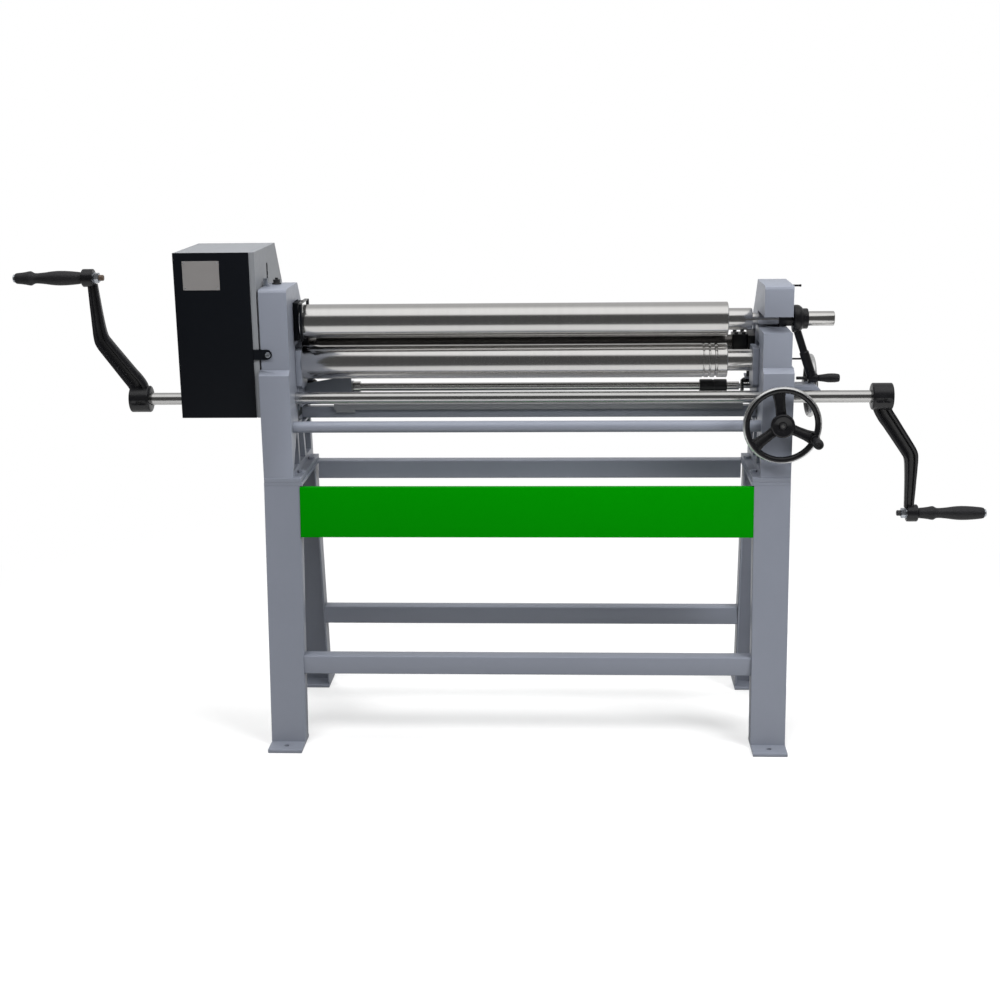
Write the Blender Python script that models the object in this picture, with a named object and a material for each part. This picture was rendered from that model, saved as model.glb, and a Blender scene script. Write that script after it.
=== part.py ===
"""Hand-cranked three-roll sheet bending machine on a sheet-steel stand.

Sizes below are in millimetres and degrees. The shape helpers turn them into metres.
X runs along the rolls, +Y away from the operator, +Z up. The floor is Z = 0, X = 0 is the
middle of the crank shaft, and Y = 0 is the plane of the two pinch rolls and the middle of the feet.
"""
import math

import bmesh
import bpy
from mathutils import Matrix, Vector

MM = 0.001

# Clearances
SEAT_GAP = 0.3
RUN_GAP = 0.4

# Where the machine's parts lie
STAND_HEIGHT = 701.0
ROLL_ABOVE_STAND = 404.0
ROLL_HEIGHT = STAND_HEIGHT + ROLL_ABOVE_STAND
FRAME_CENTRE_X = 48.0
LOWER_ROLL_DROP = 108.0
REAR_ROLL_BACK = 98.0
REAR_ROLL_DROP = 75.5
DRIVE_SHAFT_Y = -56.0
DRIVE_SHAFT_DROP = 196.0

# Distances along X are measured from the middle of the two side frames. This one is half the
# clear width between the frames, and the others follow it.
FRAME_INNER_X = 608.0
FRAME_UPPER_OUTER_X = FRAME_INNER_X + 73.0
FRAME_LOWER_OUTER_X = FRAME_INNER_X + 78.0
CASE_X = -FRAME_LOWER_OUTER_X

# Stand
LEG_WIDTH = 90.0
LEG_INNER_X = FRAME_INNER_X - 16.0
LEG_OUTER_X = LEG_INNER_X + LEG_WIDTH
TOP_PLATE_THICKNESS = 8.0
TOP_PLATE_INNER_X = LEG_INNER_X - 7.0
TOP_PLATE_OUTER_X = LEG_OUTER_X + 4.0
LEG_DEPTH = 50.0
LEG_WALL = 5.0
LEG_TOP_Y = 150.0
LEG_BOTTOM_Y = 236.0
FOOT_THICKNESS = 10.0
FOOT_END_Y = 292.0
FOOT_INNER_Y = 180.0
FOOT_HOLE_Y = 263.0
FOOT_HOLE_RADIUS = 7.0
RAIL_HEIGHT = 50.0
RAIL_DEPTH = 40.0
RAIL_WALL = 3.0
FRONT_RAIL_Z = 190.0
REAR_RAIL_Z = 208.0
PANEL_TOP_Z = STAND_HEIGHT - 12.0
PANEL_HEIGHT = 131.0
PANEL_THICKNESS = 3.0
PANEL_FOLD = 18.0

# Side frames
FRAME_TOP_RISE = 99.0
FRAME_FRONT_Y = -125.0
FRAME_LOWER_FRONT_Y = -145.0
FRAME_TOP_BACK_Y = 40.0
FRAME_BACK_Y = 151.0
FRAME_FOOT_BACK_Y = 172.0
FRAME_WAIST_DROP = 150.0
FRAME_SHOULDER_DROP = 20.0
FRAME_CORNER = (51.0, 61.0)
LEDGE_TOP_DROP = 109.0
LEDGE_FALL = 12.0
BASE_FLANGE_THICKNESS = 12.0
BASE_FLANGE_INNER_X = FRAME_INNER_X - 20.0
BASE_FLANGE_Y = 147.0
FRAME_OUTER_WALL = 10.0
FRAME_TOP_ROUND = 8.0
WINDOW_SILL = 16.0
WINDOW_TOP_DROP = 285.0
BASE_BOLT_Y = 80.0
BASE_BOLT_X = FRAME_INNER_X - 10.0
BASE_BOLT_RADIUS = 5.0
BASE_BOLT_REACH = 8.0
BASE_BOLT_HEAD = 6.5
TIE_TUBE_Y = -110.0
TIE_TUBE_DROP = 262.5
TIE_TUBE_RADIUS = 15.0
TIE_TUBE_BORE = 11.0

# Rolls
ROLL_RADIUS = 45.0
ROLL_LEFT_X = FRAME_INNER_X - 14.0
ROLL_RIGHT_X = FRAME_INNER_X - 80.5
ROLL_CHAMFER = 2.0
NECK_RADIUS = 28.5
NECK_END_X = FRAME_INNER_X - 18.0
LOWER_JOURNAL_RADIUS = 20.0
REAR_JOURNAL_RADIUS = 15.0
RIGHT_JOURNAL_RADIUS = 16.0
STUB_RADIUS = 19.0
STUB_LENGTH = 68.0
WIRE_GROOVE_INSETS = (64.5, 49.5, 33.5)
WIRE_GROOVE_WIDTHS = (5.0, 6.0, 8.0)

# Lower roll bearings and the wedges that lift them
LIFT_TRAVEL = 17.0
LOWER_BLOCK_HALF_Y = 34.0
LOWER_BLOCK_RISE = 32.0
LOWER_BLOCK_OUTER_X = FRAME_INNER_X + 68.0
LOWER_FLANGE_THICKNESS = 15.4
LOWER_FLANGE_HALF_Y = 42.0
LOWER_FLANGE_TOP = 36.0
LOWER_FLANGE_BOTTOM = 68.0
WEDGE_TRAVEL = 60.0
WEDGE_TIP_Y = -48.0
WEDGE_BACK_Y = 115.0
WEDGE_TIP_TOP_DROP = 233.0
WEDGE_BOTTOM_DROP = 264.0
WEDGE_INNER_X = FRAME_INNER_X + 10.6
WEDGE_OUTER_X = FRAME_INNER_X + 68.0
WEDGE_HEADROOM = 0.6
BEAM_SIDE = 30.0
BEAM_Y = 100.0
BEAM_DROP = 262.0
BEAM_WALL = 3.0
STIFFENER_HEIGHT = 14.0
STIFFENER_DEPTH = 9.0
STIFFENER_TOP_DROP = 239.0
STIFFENER_LEFT_X = 79.0 - FRAME_INNER_X
STIFFENER_RIGHT_X = FRAME_INNER_X - 26.0
STIFFENER_LUG_LENGTH = 57.0
STIFFENER_LUG_DROP = 261.0
LIFT_SCREW_X = FRAME_INNER_X + 47.0
LIFT_SCREW_DROP = 247.0
LIFT_SCREW_RADIUS = 8.0
LIFT_SCREW_BACK_Y = 20.0

# Front handwheel
WHEEL_RADIUS = 100.0
WHEEL_Y = -178.0
WHEEL_RIM_RADIUS = 9.0
WHEEL_HUB_RADIUS = 31.0
WHEEL_HUB_LENGTH = 34.0
WHEEL_SPOKE_WIDTH = 24.0
WHEEL_SPOKE_THICKNESS = 10.0
WHEEL_SPOKE_ANGLES = (98.0, 218.0, 341.0)
WHEEL_GRIP_ANGLE = -24.0
WHEEL_GRIP_RADIUS = 91.0
WHEEL_GRIP_LENGTH = 66.0
WHEEL_GRIP_FAT = 13.0
WHEEL_PIN_RADIUS = 5.0

# Upper roll pivot and release lever
PIVOT_X = -47.0 - FRAME_INNER_X
PIVOT_BLOCK_INNER_X = FRAME_INNER_X - 11.0
PIVOT_BLOCK_OUTER_X = FRAME_INNER_X + 68.0
PIVOT_BLOCK_HALF_Y = 32.0
PIVOT_BLOCK_TOP = 53.0
PIVOT_BLOCK_BOTTOM = 46.0
PIVOT_WINDOW_HALF_Y = 42.0
PIVOT_WINDOW_PLAY = 2.0
PIVOT_PIN_RADIUS = 8.0
PIVOT_PIN_DEPTH = 10.0
PIVOT_JOURNAL_RADIUS = 20.0
JOURNAL_SLOT_HALF = 20.5
RELEASE_DISC_RADIUS = 36.0
RELEASE_DISC_START_X = FRAME_UPPER_OUTER_X + 15.0
RELEASE_DISC_END_X = RELEASE_DISC_START_X + 19.0
RELEASE_BOSS_RADIUS = 25.0
RELEASE_BOSS_END_X = RELEASE_DISC_END_X + 20.0
STUB_LEFT_X = RELEASE_BOSS_END_X + SEAT_GAP
STUB_RIGHT_X = STUB_LEFT_X + STUB_LENGTH
RELEASE_CAM_RADIUS = 19.3
RELEASE_CAM_OFFSET = 1.0
RELEASE_CAM_LENGTH = 37.0
RELEASE_ARM_RADIUS = 11.0
RELEASE_ARM_TOP = (RELEASE_DISC_START_X + 10.0, -30.0)
RELEASE_ARM_END = (RELEASE_DISC_START_X + 58.0, -157.0)
HANDLE_BAR_RADIUS = 4.2
HANDLE_BAR_START_X = RELEASE_ARM_END[0] - 43.0
KNOB_RADIUS = 12.0
KNOB_START_X = RELEASE_ARM_END[0] + 13.0
KNOB_LENGTH = 57.0
STOP_PIN_RADIUS = 2.5
STOP_PIN_DROP = 108.0
STOP_PIN_END_X = FRAME_UPPER_OUTER_X + 64.0
REST_BRACKET_END_X = FRAME_LOWER_OUTER_X + 86.0
REST_BRACKET_Y = (-34.0, 30.0)
REST_BRACKET_DROP = (172.0, 205.0)
REST_BRACKET_CHAMFER = 12.0

# Rear roll and its lifting gear
REAR_TILT = 11.5
REAR_DOWN = 15.0
REAR_UP = 35.0
REAR_BLOCK_HALF = 28.0
REAR_BLOCK_OUTER_X = FRAME_INNER_X + 64.0
REAR_FLANGE_INNER_X = FRAME_INNER_X - 18.0
REAR_TAIL_LENGTH = 79.0
REAR_TAIL_HALF = 11.0
REAR_SCREW_X = FRAME_INNER_X - 9.0
REAR_SCREW_RADIUS = 6.0
REAR_SCREW_TOP_ROOM = 6.5
REAR_ROD_DISTANCE = 126.0
REAR_SCREW_BRACKET_TOP = 95.0
REAR_SCREW_BRACKET_THICKNESS = 5.0
REAR_SCREW_BRACKET_HALF_Y = 16.0
REAR_SCREW_BRACKET_INNER_X = FRAME_INNER_X - 20.0
MITRE_TEETH = 12
MITRE_PITCH_RADIUS = 18.0
MITRE_FACE = 8.0
MITRE_ADDENDUM = 1.6
MITRE_DEDENDUM = 2.8
MITRE_HUB_LENGTH = 4.0
CROSS_ROD_RADIUS = 11.5
CROSS_ROD_END_RADIUS = 7.0
CROSS_ROD_JOINT_X = FRAME_INNER_X - 103.5
CROSS_ROD_JOINT_GAP = 1.0
CROSS_ROD_LEFT_X = FRAME_INNER_X + 10.0
SLEEVE_LENGTH = 73.0
SLEEVE_RADIUS = 18.5
SLEEVE_RELIEF = 1.5
COLLAR_RADIUS = 16.0
COLLAR_LENGTH = 20.0
ROD_ARM_END_X = FRAME_INNER_X - 128.0
ROD_ARM_Y = 84.0
ROD_ARM_THICKNESS = 8.0
ROD_ARM_ROOT_DROP = (182.0, 214.0)
ROD_ARM_END_DROP = (160.0, 218.0)
ROD_EYE_LENGTH = 18.0
ROD_EYE_BACK = 16.0
REAR_WHEEL_RADIUS = 86.0
REAR_WHEEL_X = FRAME_LOWER_OUTER_X + 80.0
REAR_WHEEL_RIM_RADIUS = 8.0
REAR_WHEEL_HUB_RADIUS = 22.0
REAR_WHEEL_HUB_LENGTH = 40.0
REAR_WHEEL_SPOKE_ANGLES = (90.0, 210.0, 330.0)

# Drive shaft and cranks
SHAFT_RADIUS = 16.0
SHAFT_OVERHANG = 392.0
SHAFT_HALF_LENGTH = FRAME_INNER_X + SHAFT_OVERHANG
CRANK_THROW = 329.0
CRANK_TILT = 8.0
CRANK_HUB_RADIUS = 35.0
CRANK_HUB_LENGTH = 54.0
CRANK_HUB_END_X = SHAFT_HALF_LENGTH
CRANK_OFFSET = 91.0
CRANK_END_X = CRANK_HUB_END_X + CRANK_OFFSET
CRANK_END_WIDTH = 29.0
CRANK_END_RADIUS = 23.0
CRANK_ARM_THICKNESS = 26.0
CRANK_ROOT_WIDTH = 50.0
CRANK_TOP_WIDTH = 24.0
CRANK_TOP_INSET = 8.5
CRANK_ROOT_HEIGHT = 36.0
CRANK_KNEE_HEIGHT = 158.0
CRANK_KNEE_WIDTH = 29.0
CRANK_KNEE_DROP = 34.0
CRANK_NUT_LENGTH = 18.0
CRANK_NUT_RADIUS = 10.0
CRANK_PIN_RADIUS = 6.0
CRANK_GRIP_LENGTH = 182.0
CRANK_GRIP_RADIUS = 18.9

# Gears
GEAR_MODULE = 4.0
PINION_TEETH = 14
IDLER_TEETH = 25
UPPER_TEETH = 40
TRAIN_X = (CASE_X - 84.0, CASE_X - 64.0)
PAIR_X = (CASE_X - 49.0, CASE_X - 25.0)
PAIR_TEETH = 10
PAIR_TIP_RADIUS = 56.0
PAIR_ROOT_RADIUS = 33.5
IDLER_STUD_RADIUS = 10.0
GEAR_SHAFT_RADIUS = 17.0
COUPLING_CUP_RADIUS = 26.0
COUPLING_CUP_LENGTH = 17.0
COUPLING_TONGUE_THICKNESS = 8.0
COUPLING_TONGUE_LENGTH = 17.0
COUPLING_PLAY = 4.0
COUPLING_SLOT_HALF = 9.9

# Gear casing
COVER_LEFT_X = CASE_X - 209.0
COVER_RIGHT_X = CASE_X - 14.0
COVER_FRONT_Y = -125.0
COVER_BACK_Y = 235.0
COVER_TOP_BACK_Y = 154.0
COVER_TOP_RISE = 194.0
COVER_SHOULDER_RISE = 82.0
COVER_BOTTOM_DROP = 234.0
COVER_WALL = 2.5
COVER_FRONT_THICKNESS = 3.0
COVER_SHAFT_HOLE = 22.0
BACK_PLATE_X = (CASE_X - 11.3, CASE_X)
BACK_PLATE_BOSS_X = CASE_X + 4.7
BACK_PLATE_STEP_REACH = 200.0
BACK_PLATE_BOSS_Y = (-110.0, 100.0)
BACK_PLATE_BOSS_Z = (-216.0, 84.0)
SUPPORT_PLATE_X = (CASE_X - 116.0, CASE_X - 106.0)
SUPPORT_PLATE_Y = (-116.0, 116.0)
SUPPORT_PLATE_Z = (-226.0, 86.0)
SPACER_RADIUS = 8.0
SPACER_PLACES = ((-105.0, 72.0), (104.0, 72.0), (104.0, -212.0))
LUG_X = (CASE_X - 13.5, CASE_X + 34.0)
LUG_DROP = (55.0, 81.0)
LUG_THICKNESS = 4.5
LUG_SCREW_X = CASE_X + 24.0
LUG_SCREW_RADIUS = 6.5

# Small pieces on top of the left frame
PIVOT_NUT_RADIUS = 12.5
PIVOT_NUT_HEIGHT = 12.0
LOCK_SCREW_X = CASE_X + 10.5
LOCK_SCREW_Y = -42.0
LOCK_SCREW_RADIUS = 4.0
LOCK_WASHER_RADIUS = 9.5
LOCK_HEAD_RADIUS = 6.5
LOCK_HEAD_RISE = 20.0
LOCK_BAR_RADIUS = 1.8
LOCK_BAR_REACH = 5.0
LOCK_BAR_RISE = 44.0

# How finely round shapes are divided
FINE_SEGMENTS = 32
MEDIUM_SEGMENTS = 24
COARSE_SEGMENTS = 12

COLOURS = {
    "grey_paint": ((0.24, 0.255, 0.29), 0.45, 0.0),
    "light_grey_paint": ((0.40, 0.42, 0.45), 0.45, 0.0),
    "green_paint": ((0.0, 0.216, 0.0), 0.4, 0.0),
    "black_paint": ((0.008, 0.008, 0.010), 0.4, 0.0),
    "bright_steel": ((0.62, 0.61, 0.60), 0.25, 1.0),
    "dark_steel": ((0.10, 0.10, 0.10), 0.45, 1.0),
    "cast_iron": ((0.16, 0.16, 0.17), 0.6, 0.6),
    "black_plastic": ((0.012, 0.012, 0.014), 0.5, 0.0),
}


# Shape helpers

def clear_scene():
    """Remove every object, so that the file holds only this machine."""
    for old in list(bpy.data.objects):
        bpy.data.objects.remove(old, do_unlink=True)


def material(key):
    """Return the material of one finish, made the first time it is asked for."""
    if key in bpy.data.materials:
        return bpy.data.materials[key]
    colour, roughness, metallic = COLOURS[key]
    made = bpy.data.materials.new(key)
    made.use_nodes = True
    shader = made.node_tree.nodes["Principled BSDF"]
    shader.inputs["Base Color"].default_value = (*colour, 1.0)
    shader.inputs["Roughness"].default_value = roughness
    shader.inputs["Metallic"].default_value = metallic
    made.diffuse_color = (*colour, 1.0)
    return made


def frame_x(x):
    """Turn a distance from the middle of the two side frames into machine X."""
    return FRAME_CENTRE_X + x


def up(rise):
    """Turn a height above the upper roll's axis into machine Z."""
    return ROLL_HEIGHT + rise


def add_object(name, mesh_maker, finish=None):
    """Make an object from a filled bmesh. Without a finish it is a hidden tool shape."""
    shape = bmesh.new()
    mesh_maker(shape)
    bmesh.ops.recalc_face_normals(shape, faces=shape.faces)
    mesh = bpy.data.meshes.new(name)
    shape.to_mesh(mesh)
    shape.free()
    made = bpy.data.objects.new(name, mesh)
    bpy.context.scene.collection.objects.link(made)
    if finish is None:
        made.hide_render = True
        made.display_type = "WIRE"
    else:
        mesh.materials.append(material(finish))
    return made


def box(name, xs, ys, zs, finish=None):
    """A block between two X, two Y and two Z planes."""
    return prism(name, "X", xs, [(ys[0], zs[0]), (ys[1], zs[0]), (ys[1], zs[1]), (ys[0], zs[1])], finish)


def place(axis, along, first, second):
    """Put a point of an outline, drawn square to an axis, into space."""
    if axis == "X":
        return Vector((along, first, second)) * MM
    if axis == "Y":
        return Vector((first, along, second)) * MM
    return Vector((first, second, along)) * MM


def prism(name, axis, span, outline, finish=None, far_outline=None):
    """An outline carried along an axis. With a far outline the two ends differ."""
    def fill(shape):
        near = [shape.verts.new(place(axis, span[0], *point)) for point in outline]
        far = [shape.verts.new(place(axis, span[1], *point)) for point in far_outline or outline]
        shape.faces.new(near)
        shape.faces.new(list(reversed(far)))
        for index in range(len(near)):
            following = (index + 1) % len(near)
            shape.faces.new((near[index], near[following], far[following], far[index]))
    return add_object(name, fill, finish)


def turned(name, profile, centre, finish=None, segments=MEDIUM_SEGMENTS, axis="X", ring=False):
    """A profile of (station, radius) pairs turned about an axis through centre.

    centre holds the two coordinates square to the axis. A ring's profile closes on itself
    and leaves a bore; any other profile runs from the axis back to the axis.
    """
    def fill(shape):
        rows = []
        for station, radius in profile:
            if radius == 0:
                rows.append([shape.verts.new(place(axis, station, *centre))])
                continue
            row = []
            for step in range(segments):
                angle = math.tau * step / segments
                first = centre[0] + radius * math.cos(angle)
                second = centre[1] + radius * math.sin(angle)
                row.append(shape.verts.new(place(axis, station, first, second)))
            rows.append(row)
        pairs = list(zip(rows, rows[1:]))
        if ring:
            pairs.append((rows[-1], rows[0]))
        for one, other in pairs:
            join_rows(shape, one, other)
    made = add_object(name, fill, finish)
    smooth(made)
    return made


def join_rows(shape, one, other):
    """Fill the band between two turned rows, either of which may be a point on the axis."""
    if len(one) == 1:
        shape.faces.new(other)
        shape.verts.remove(one[0])
        return
    if len(other) == 1:
        shape.faces.new(one)
        shape.verts.remove(other[0])
        return
    for index in range(len(one)):
        following = (index + 1) % len(one)
        shape.faces.new((one[index], one[following], other[following], other[index]))


def smooth(made):
    """Shade round pieces smooth, with their edges kept sharp."""
    made.data.shade_smooth()
    made.data.set_sharp_from_angle(angle=math.radians(40))


def rod(name, xs, centre, radius, finish=None, segments=MEDIUM_SEGMENTS, axis="X"):
    """A plain round bar between two stations."""
    profile = [(xs[0], 0), (xs[0], radius), (xs[1], radius), (xs[1], 0)]
    return turned(name, profile, centre, finish, segments, axis)


def tube(name, xs, centre, outer, bore, finish=None, segments=MEDIUM_SEGMENTS, axis="X"):
    """A plain round tube between two stations."""
    profile = [(xs[0], bore), (xs[0], outer), (xs[1], outer), (xs[1], bore)]
    return turned(name, profile, centre, finish, segments, axis, ring=True)


def combine(target, tool, operation):
    """Cut a tool shape from a piece, or join it to the piece."""
    change = target.modifiers.new(tool.name, "BOOLEAN")
    change.operation = operation
    change.solver = "EXACT"
    change.object = tool
    tool.hide_render = True
    tool.display_type = "WIRE"
    return target


def cut(target, *tools):
    """Cut one or more shapes from a piece."""
    for tool in tools:
        combine(target, tool, "DIFFERENCE")
    return target


def join(target, *tools):
    """Weld one or more shapes to a piece."""
    for tool in tools:
        combine(target, tool, "UNION")
    return target


def origin_at(made, x, y, z):
    """Move a piece's origin to a point, such as one on its joint's axis."""
    point = Vector((x, y, z)) * MM
    made.data.transform(Matrix.Translation(-point))
    made.location = point
    return made


def carry(made, matrix):
    """Place a piece that was modelled in its own frame."""
    made.matrix_world = matrix
    return made


def bar_between(name, start, end, radius, finish=None, segments=COARSE_SEGMENTS):
    """A round bar between two points in space."""
    start = Vector(start)
    end = Vector(end)
    run = end - start
    made = rod(name, (0, run.length), (0, 0), radius, finish, segments, axis="Z")
    turn = run.to_track_quat("Z", "Y").to_matrix().to_4x4() @ Matrix.Rotation(0.13, 4, "Z")
    return carry(made, Matrix.Translation(start * MM) @ turn)


def mirrored(side, near, far):
    """Give the X span of a piece on the left (-1) or right (+1) frame, low end first."""
    ends = (frame_x(side * near), frame_x(side * far))
    return (min(ends), max(ends))


SIDES = (("left", -1), ("right", 1))


# Stand

def leg_lean(z):
    """Distance of a leg's outer face from Y = 0 at height z."""
    share = (z - FOOT_THICKNESS) / (STAND_HEIGHT - TOP_PLATE_THICKNESS - FOOT_THICKNESS)
    return LEG_BOTTOM_Y + (LEG_TOP_Y - LEG_BOTTOM_Y) * share


def leg_section(side, end, z):
    """A channel section at height z: its web outward, its open side towards Y = 0."""
    outer = end * leg_lean(z)
    web = end * (leg_lean(z) - LEG_WALL)
    lip = end * (leg_lean(z) - LEG_DEPTH)
    x0 = frame_x(side * LEG_INNER_X)
    x1 = frame_x(side * LEG_OUTER_X)
    wall = side * LEG_WALL
    return [(x0, outer), (x1, outer), (x1, lip), (x1 - wall, lip),
            (x1 - wall, web), (x0 + wall, web), (x0 + wall, lip), (x0, lip)]


def build_legs():
    """Four leaning channel legs, each with its own foot plate welded on."""
    low = FOOT_THICKNESS / 2
    high = STAND_HEIGHT - TOP_PLATE_THICKNESS - SEAT_GAP
    for side_name, side in SIDES:
        for end_name, end in (("front", -1), ("rear", 1)):
            name = f"{side_name}_{end_name}_leg"
            leg = prism(name, "Z", (low, high), leg_section(side, end, low), "grey_paint",
                        leg_section(side, end, high))
            ys = sorted((end * FOOT_INNER_Y, end * FOOT_END_Y))
            foot = box(f"{name}_foot", mirrored(side, LEG_INNER_X, LEG_OUTER_X), ys, (0, FOOT_THICKNESS))
            middle = frame_x(side * (LEG_INNER_X + LEG_OUTER_X) / 2)
            hole = rod(f"{name}_hole", (-1, FOOT_THICKNESS + 1), (middle, end * FOOT_HOLE_Y),
                       FOOT_HOLE_RADIUS, None, COARSE_SEGMENTS, "Z")
            join(leg, foot)
            cut(leg, hole)


def build_top_plates():
    """The plates that close each pair of legs and carry a side frame."""
    zs = (STAND_HEIGHT - TOP_PLATE_THICKNESS, STAND_HEIGHT)
    for side_name, side in SIDES:
        plate = box(f"{side_name}_top_plate", mirrored(side, TOP_PLATE_INNER_X, TOP_PLATE_OUTER_X),
                    (-LEG_TOP_Y, LEG_TOP_Y), zs, "grey_paint")
        for end in (-1, 1):
            cut(plate, base_bolt_hole(f"{side_name}_top_plate_hole_{end}", side, end))


def base_bolt_hole(name, side, end):
    """The clearance hole of one bolt that holds a side frame to the stand."""
    zs = (STAND_HEIGHT - TOP_PLATE_THICKNESS - 1, STAND_HEIGHT + 1)
    centre = (frame_x(side * BASE_BOLT_X), end * BASE_BOLT_Y)
    return rod(name, zs, centre, BASE_BOLT_RADIUS + RUN_GAP, None, COARSE_SEGMENTS, "Z")


def base_bolt(name, side, end, flange_top):
    """One hexagon bolt, fixed in a side frame's flange, that reaches through the stand's top plate."""
    centre = (frame_x(side * BASE_BOLT_X), end * BASE_BOLT_Y)
    low = STAND_HEIGHT - TOP_PLATE_THICKNESS - BASE_BOLT_REACH
    shank = rod(name, (low, flange_top - 2), centre, BASE_BOLT_RADIUS, None, COARSE_SEGMENTS, "Z")
    head = rod(f"{name}_head", (flange_top - 1, flange_top + BASE_BOLT_HEAD), centre, BASE_BOLT_RADIUS * 1.8,
               None, 6, "Z")
    return shank, head


def hollow_rail(name, half_length, ys, zs):
    """A rectangular tube along X."""
    rail = box(name, (frame_x(-half_length), frame_x(half_length)), ys, zs, "grey_paint")
    inside = box(f"{name}_inside", (frame_x(-half_length - 1), frame_x(half_length + 1)),
                 (ys[0] + RAIL_WALL, ys[1] - RAIL_WALL), (zs[0] + RAIL_WALL, zs[1] - RAIL_WALL))
    return cut(rail, inside)


def build_rails():
    """The three rails that tie the two ends of the stand together."""
    half = LEG_INNER_X - SEAT_GAP
    front = -leg_lean(FRONT_RAIL_Z + RAIL_HEIGHT) + LEG_WALL
    hollow_rail("front_lower_rail", half, (front, front + RAIL_DEPTH),
                (FRONT_RAIL_Z, FRONT_RAIL_Z + RAIL_HEIGHT))
    back = leg_lean(REAR_RAIL_Z + RAIL_HEIGHT) - LEG_WALL
    hollow_rail("rear_lower_rail", half, (back - RAIL_DEPTH, back),
                (REAR_RAIL_Z, REAR_RAIL_Z + RAIL_HEIGHT))
    hollow_rail("rear_upper_rail", TOP_PLATE_INNER_X - SEAT_GAP, (LEG_TOP_Y - RAIL_DEPTH, LEG_TOP_Y),
                (STAND_HEIGHT - RAIL_HEIGHT, STAND_HEIGHT))


def build_front_panel():
    """The green sheet across the front, which leans with the legs."""
    bottom = PANEL_TOP_Z - PANEL_HEIGHT
    xs = (frame_x(-LEG_INNER_X + SEAT_GAP), frame_x(LEG_INNER_X - SEAT_GAP))
    fold = PANEL_FOLD
    inner = PANEL_THICKNESS
    outline = [(-leg_lean(bottom), bottom), (-leg_lean(bottom) + fold, bottom),
               (-leg_lean(bottom) + fold, bottom + inner), (-leg_lean(bottom) + inner, bottom + inner),
               (-leg_lean(PANEL_TOP_Z) + inner, PANEL_TOP_Z - inner),
               (-leg_lean(PANEL_TOP_Z) + fold, PANEL_TOP_Z - inner),
               (-leg_lean(PANEL_TOP_Z) + fold, PANEL_TOP_Z), (-leg_lean(PANEL_TOP_Z), PANEL_TOP_Z)]
    prism("front_panel", "X", xs, outline, "green_paint")


# Side frames

def tilt_frame(side, x):
    """The frame of the rear roll's slide: its Z points up the slide from the roll's axis."""
    middle = Vector((frame_x(side * x), REAR_ROLL_BACK, up(-REAR_ROLL_DROP))) * MM
    return Matrix.Translation(middle) @ Matrix.Rotation(math.radians(REAR_TILT), 4, "X")


def tilted_box(name, side, near, far, ys, zs, finish=None):
    """A block drawn in the rear slide's frame, between two distances from the machine's middle."""
    ends = sorted((side * (near - REAR_SCREW_X), side * (far - REAR_SCREW_X)))
    return carry(box(name, ends, ys, zs, finish), tilt_frame(side, REAR_SCREW_X))


def rod_axis():
    """Y and Z of the cross rod that lifts the rear roll."""
    lean = math.radians(REAR_TILT)
    return (REAR_ROLL_BACK + REAR_ROD_DISTANCE * math.sin(lean),
            up(-REAR_ROLL_DROP) - REAR_ROD_DISTANCE * math.cos(lean))


def wedge_slope():
    """Rise of the wedge's top per millimetre of length."""
    return LIFT_TRAVEL / WEDGE_TRAVEL


def wedge_top(y):
    """Height of the sloping contact between wedge and bearing block at rest."""
    return up(-WEDGE_TIP_TOP_DROP) + wedge_slope() * (y + LOWER_BLOCK_HALF_Y)


def frame_outline(low):
    """Side view of a casting, from the foot of its front face round to its back edge."""
    top = up(FRAME_TOP_RISE)
    front = FRAME_FRONT_Y
    ledge = up(-LEDGE_TOP_DROP)
    rounded = FRAME_TOP_ROUND
    corner = (FRAME_TOP_BACK_Y + FRAME_CORNER[0], top - FRAME_CORNER[1])
    return [(FRAME_LOWER_FRONT_Y, low), (FRAME_FOOT_BACK_Y, low), (FRAME_BACK_Y, up(-FRAME_WAIST_DROP)),
            (FRAME_BACK_Y, up(-FRAME_SHOULDER_DROP)), corner, (FRAME_TOP_BACK_Y, top),
            (front + rounded, top), (front + rounded * 0.3, top - rounded * 0.3), (front, top - rounded),
            (front, ledge), (FRAME_LOWER_FRONT_Y, ledge - LEDGE_FALL)]


def lower_outline(low):
    """Side view of the thicker lower half of a casting."""
    ledge = up(-LEDGE_TOP_DROP)
    return [(FRAME_LOWER_FRONT_Y, low), (FRAME_FOOT_BACK_Y, low), (FRAME_BACK_Y, up(-FRAME_WAIST_DROP)),
            (FRAME_BACK_Y, ledge), (FRAME_FRONT_Y, ledge), (FRAME_LOWER_FRONT_Y, ledge - LEDGE_FALL)]


def build_frame(side_name, side):
    """One side casting with its flange, pockets, slides and bores."""
    flange_low = STAND_HEIGHT + SEAT_GAP
    flange_top = flange_low + BASE_FLANGE_THICKNESS
    name = f"{side_name}_side_frame"
    frame = prism(name, "X", mirrored(side, FRAME_INNER_X, FRAME_UPPER_OUTER_X), frame_outline(flange_low),
                  "grey_paint")
    lower = prism(f"{name}_lower", "X", mirrored(side, FRAME_UPPER_OUTER_X - 8, FRAME_LOWER_OUTER_X),
                  lower_outline(flange_low))
    flange = box(f"{name}_flange", mirrored(side, BASE_FLANGE_INNER_X, FRAME_LOWER_OUTER_X - 1),
                 (-BASE_FLANGE_Y, BASE_FLANGE_Y), (flange_low, flange_top))
    join(frame, lower, flange)
    for end in (-1, 1):
        join(frame, *base_bolt(f"{name}_bolt_{end}", side, end, flange_top))
    cut_rib_windows(frame, side, flange_top)
    cut_lower_slide(frame, side)
    cut_rear_slide(frame, side)
    cut_frame_bores(frame, side)
    if side < 0:
        cut_pivot_window(frame)
    else:
        cut_journal_slot(frame)
    add_screw_bracket(frame, side)


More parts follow.
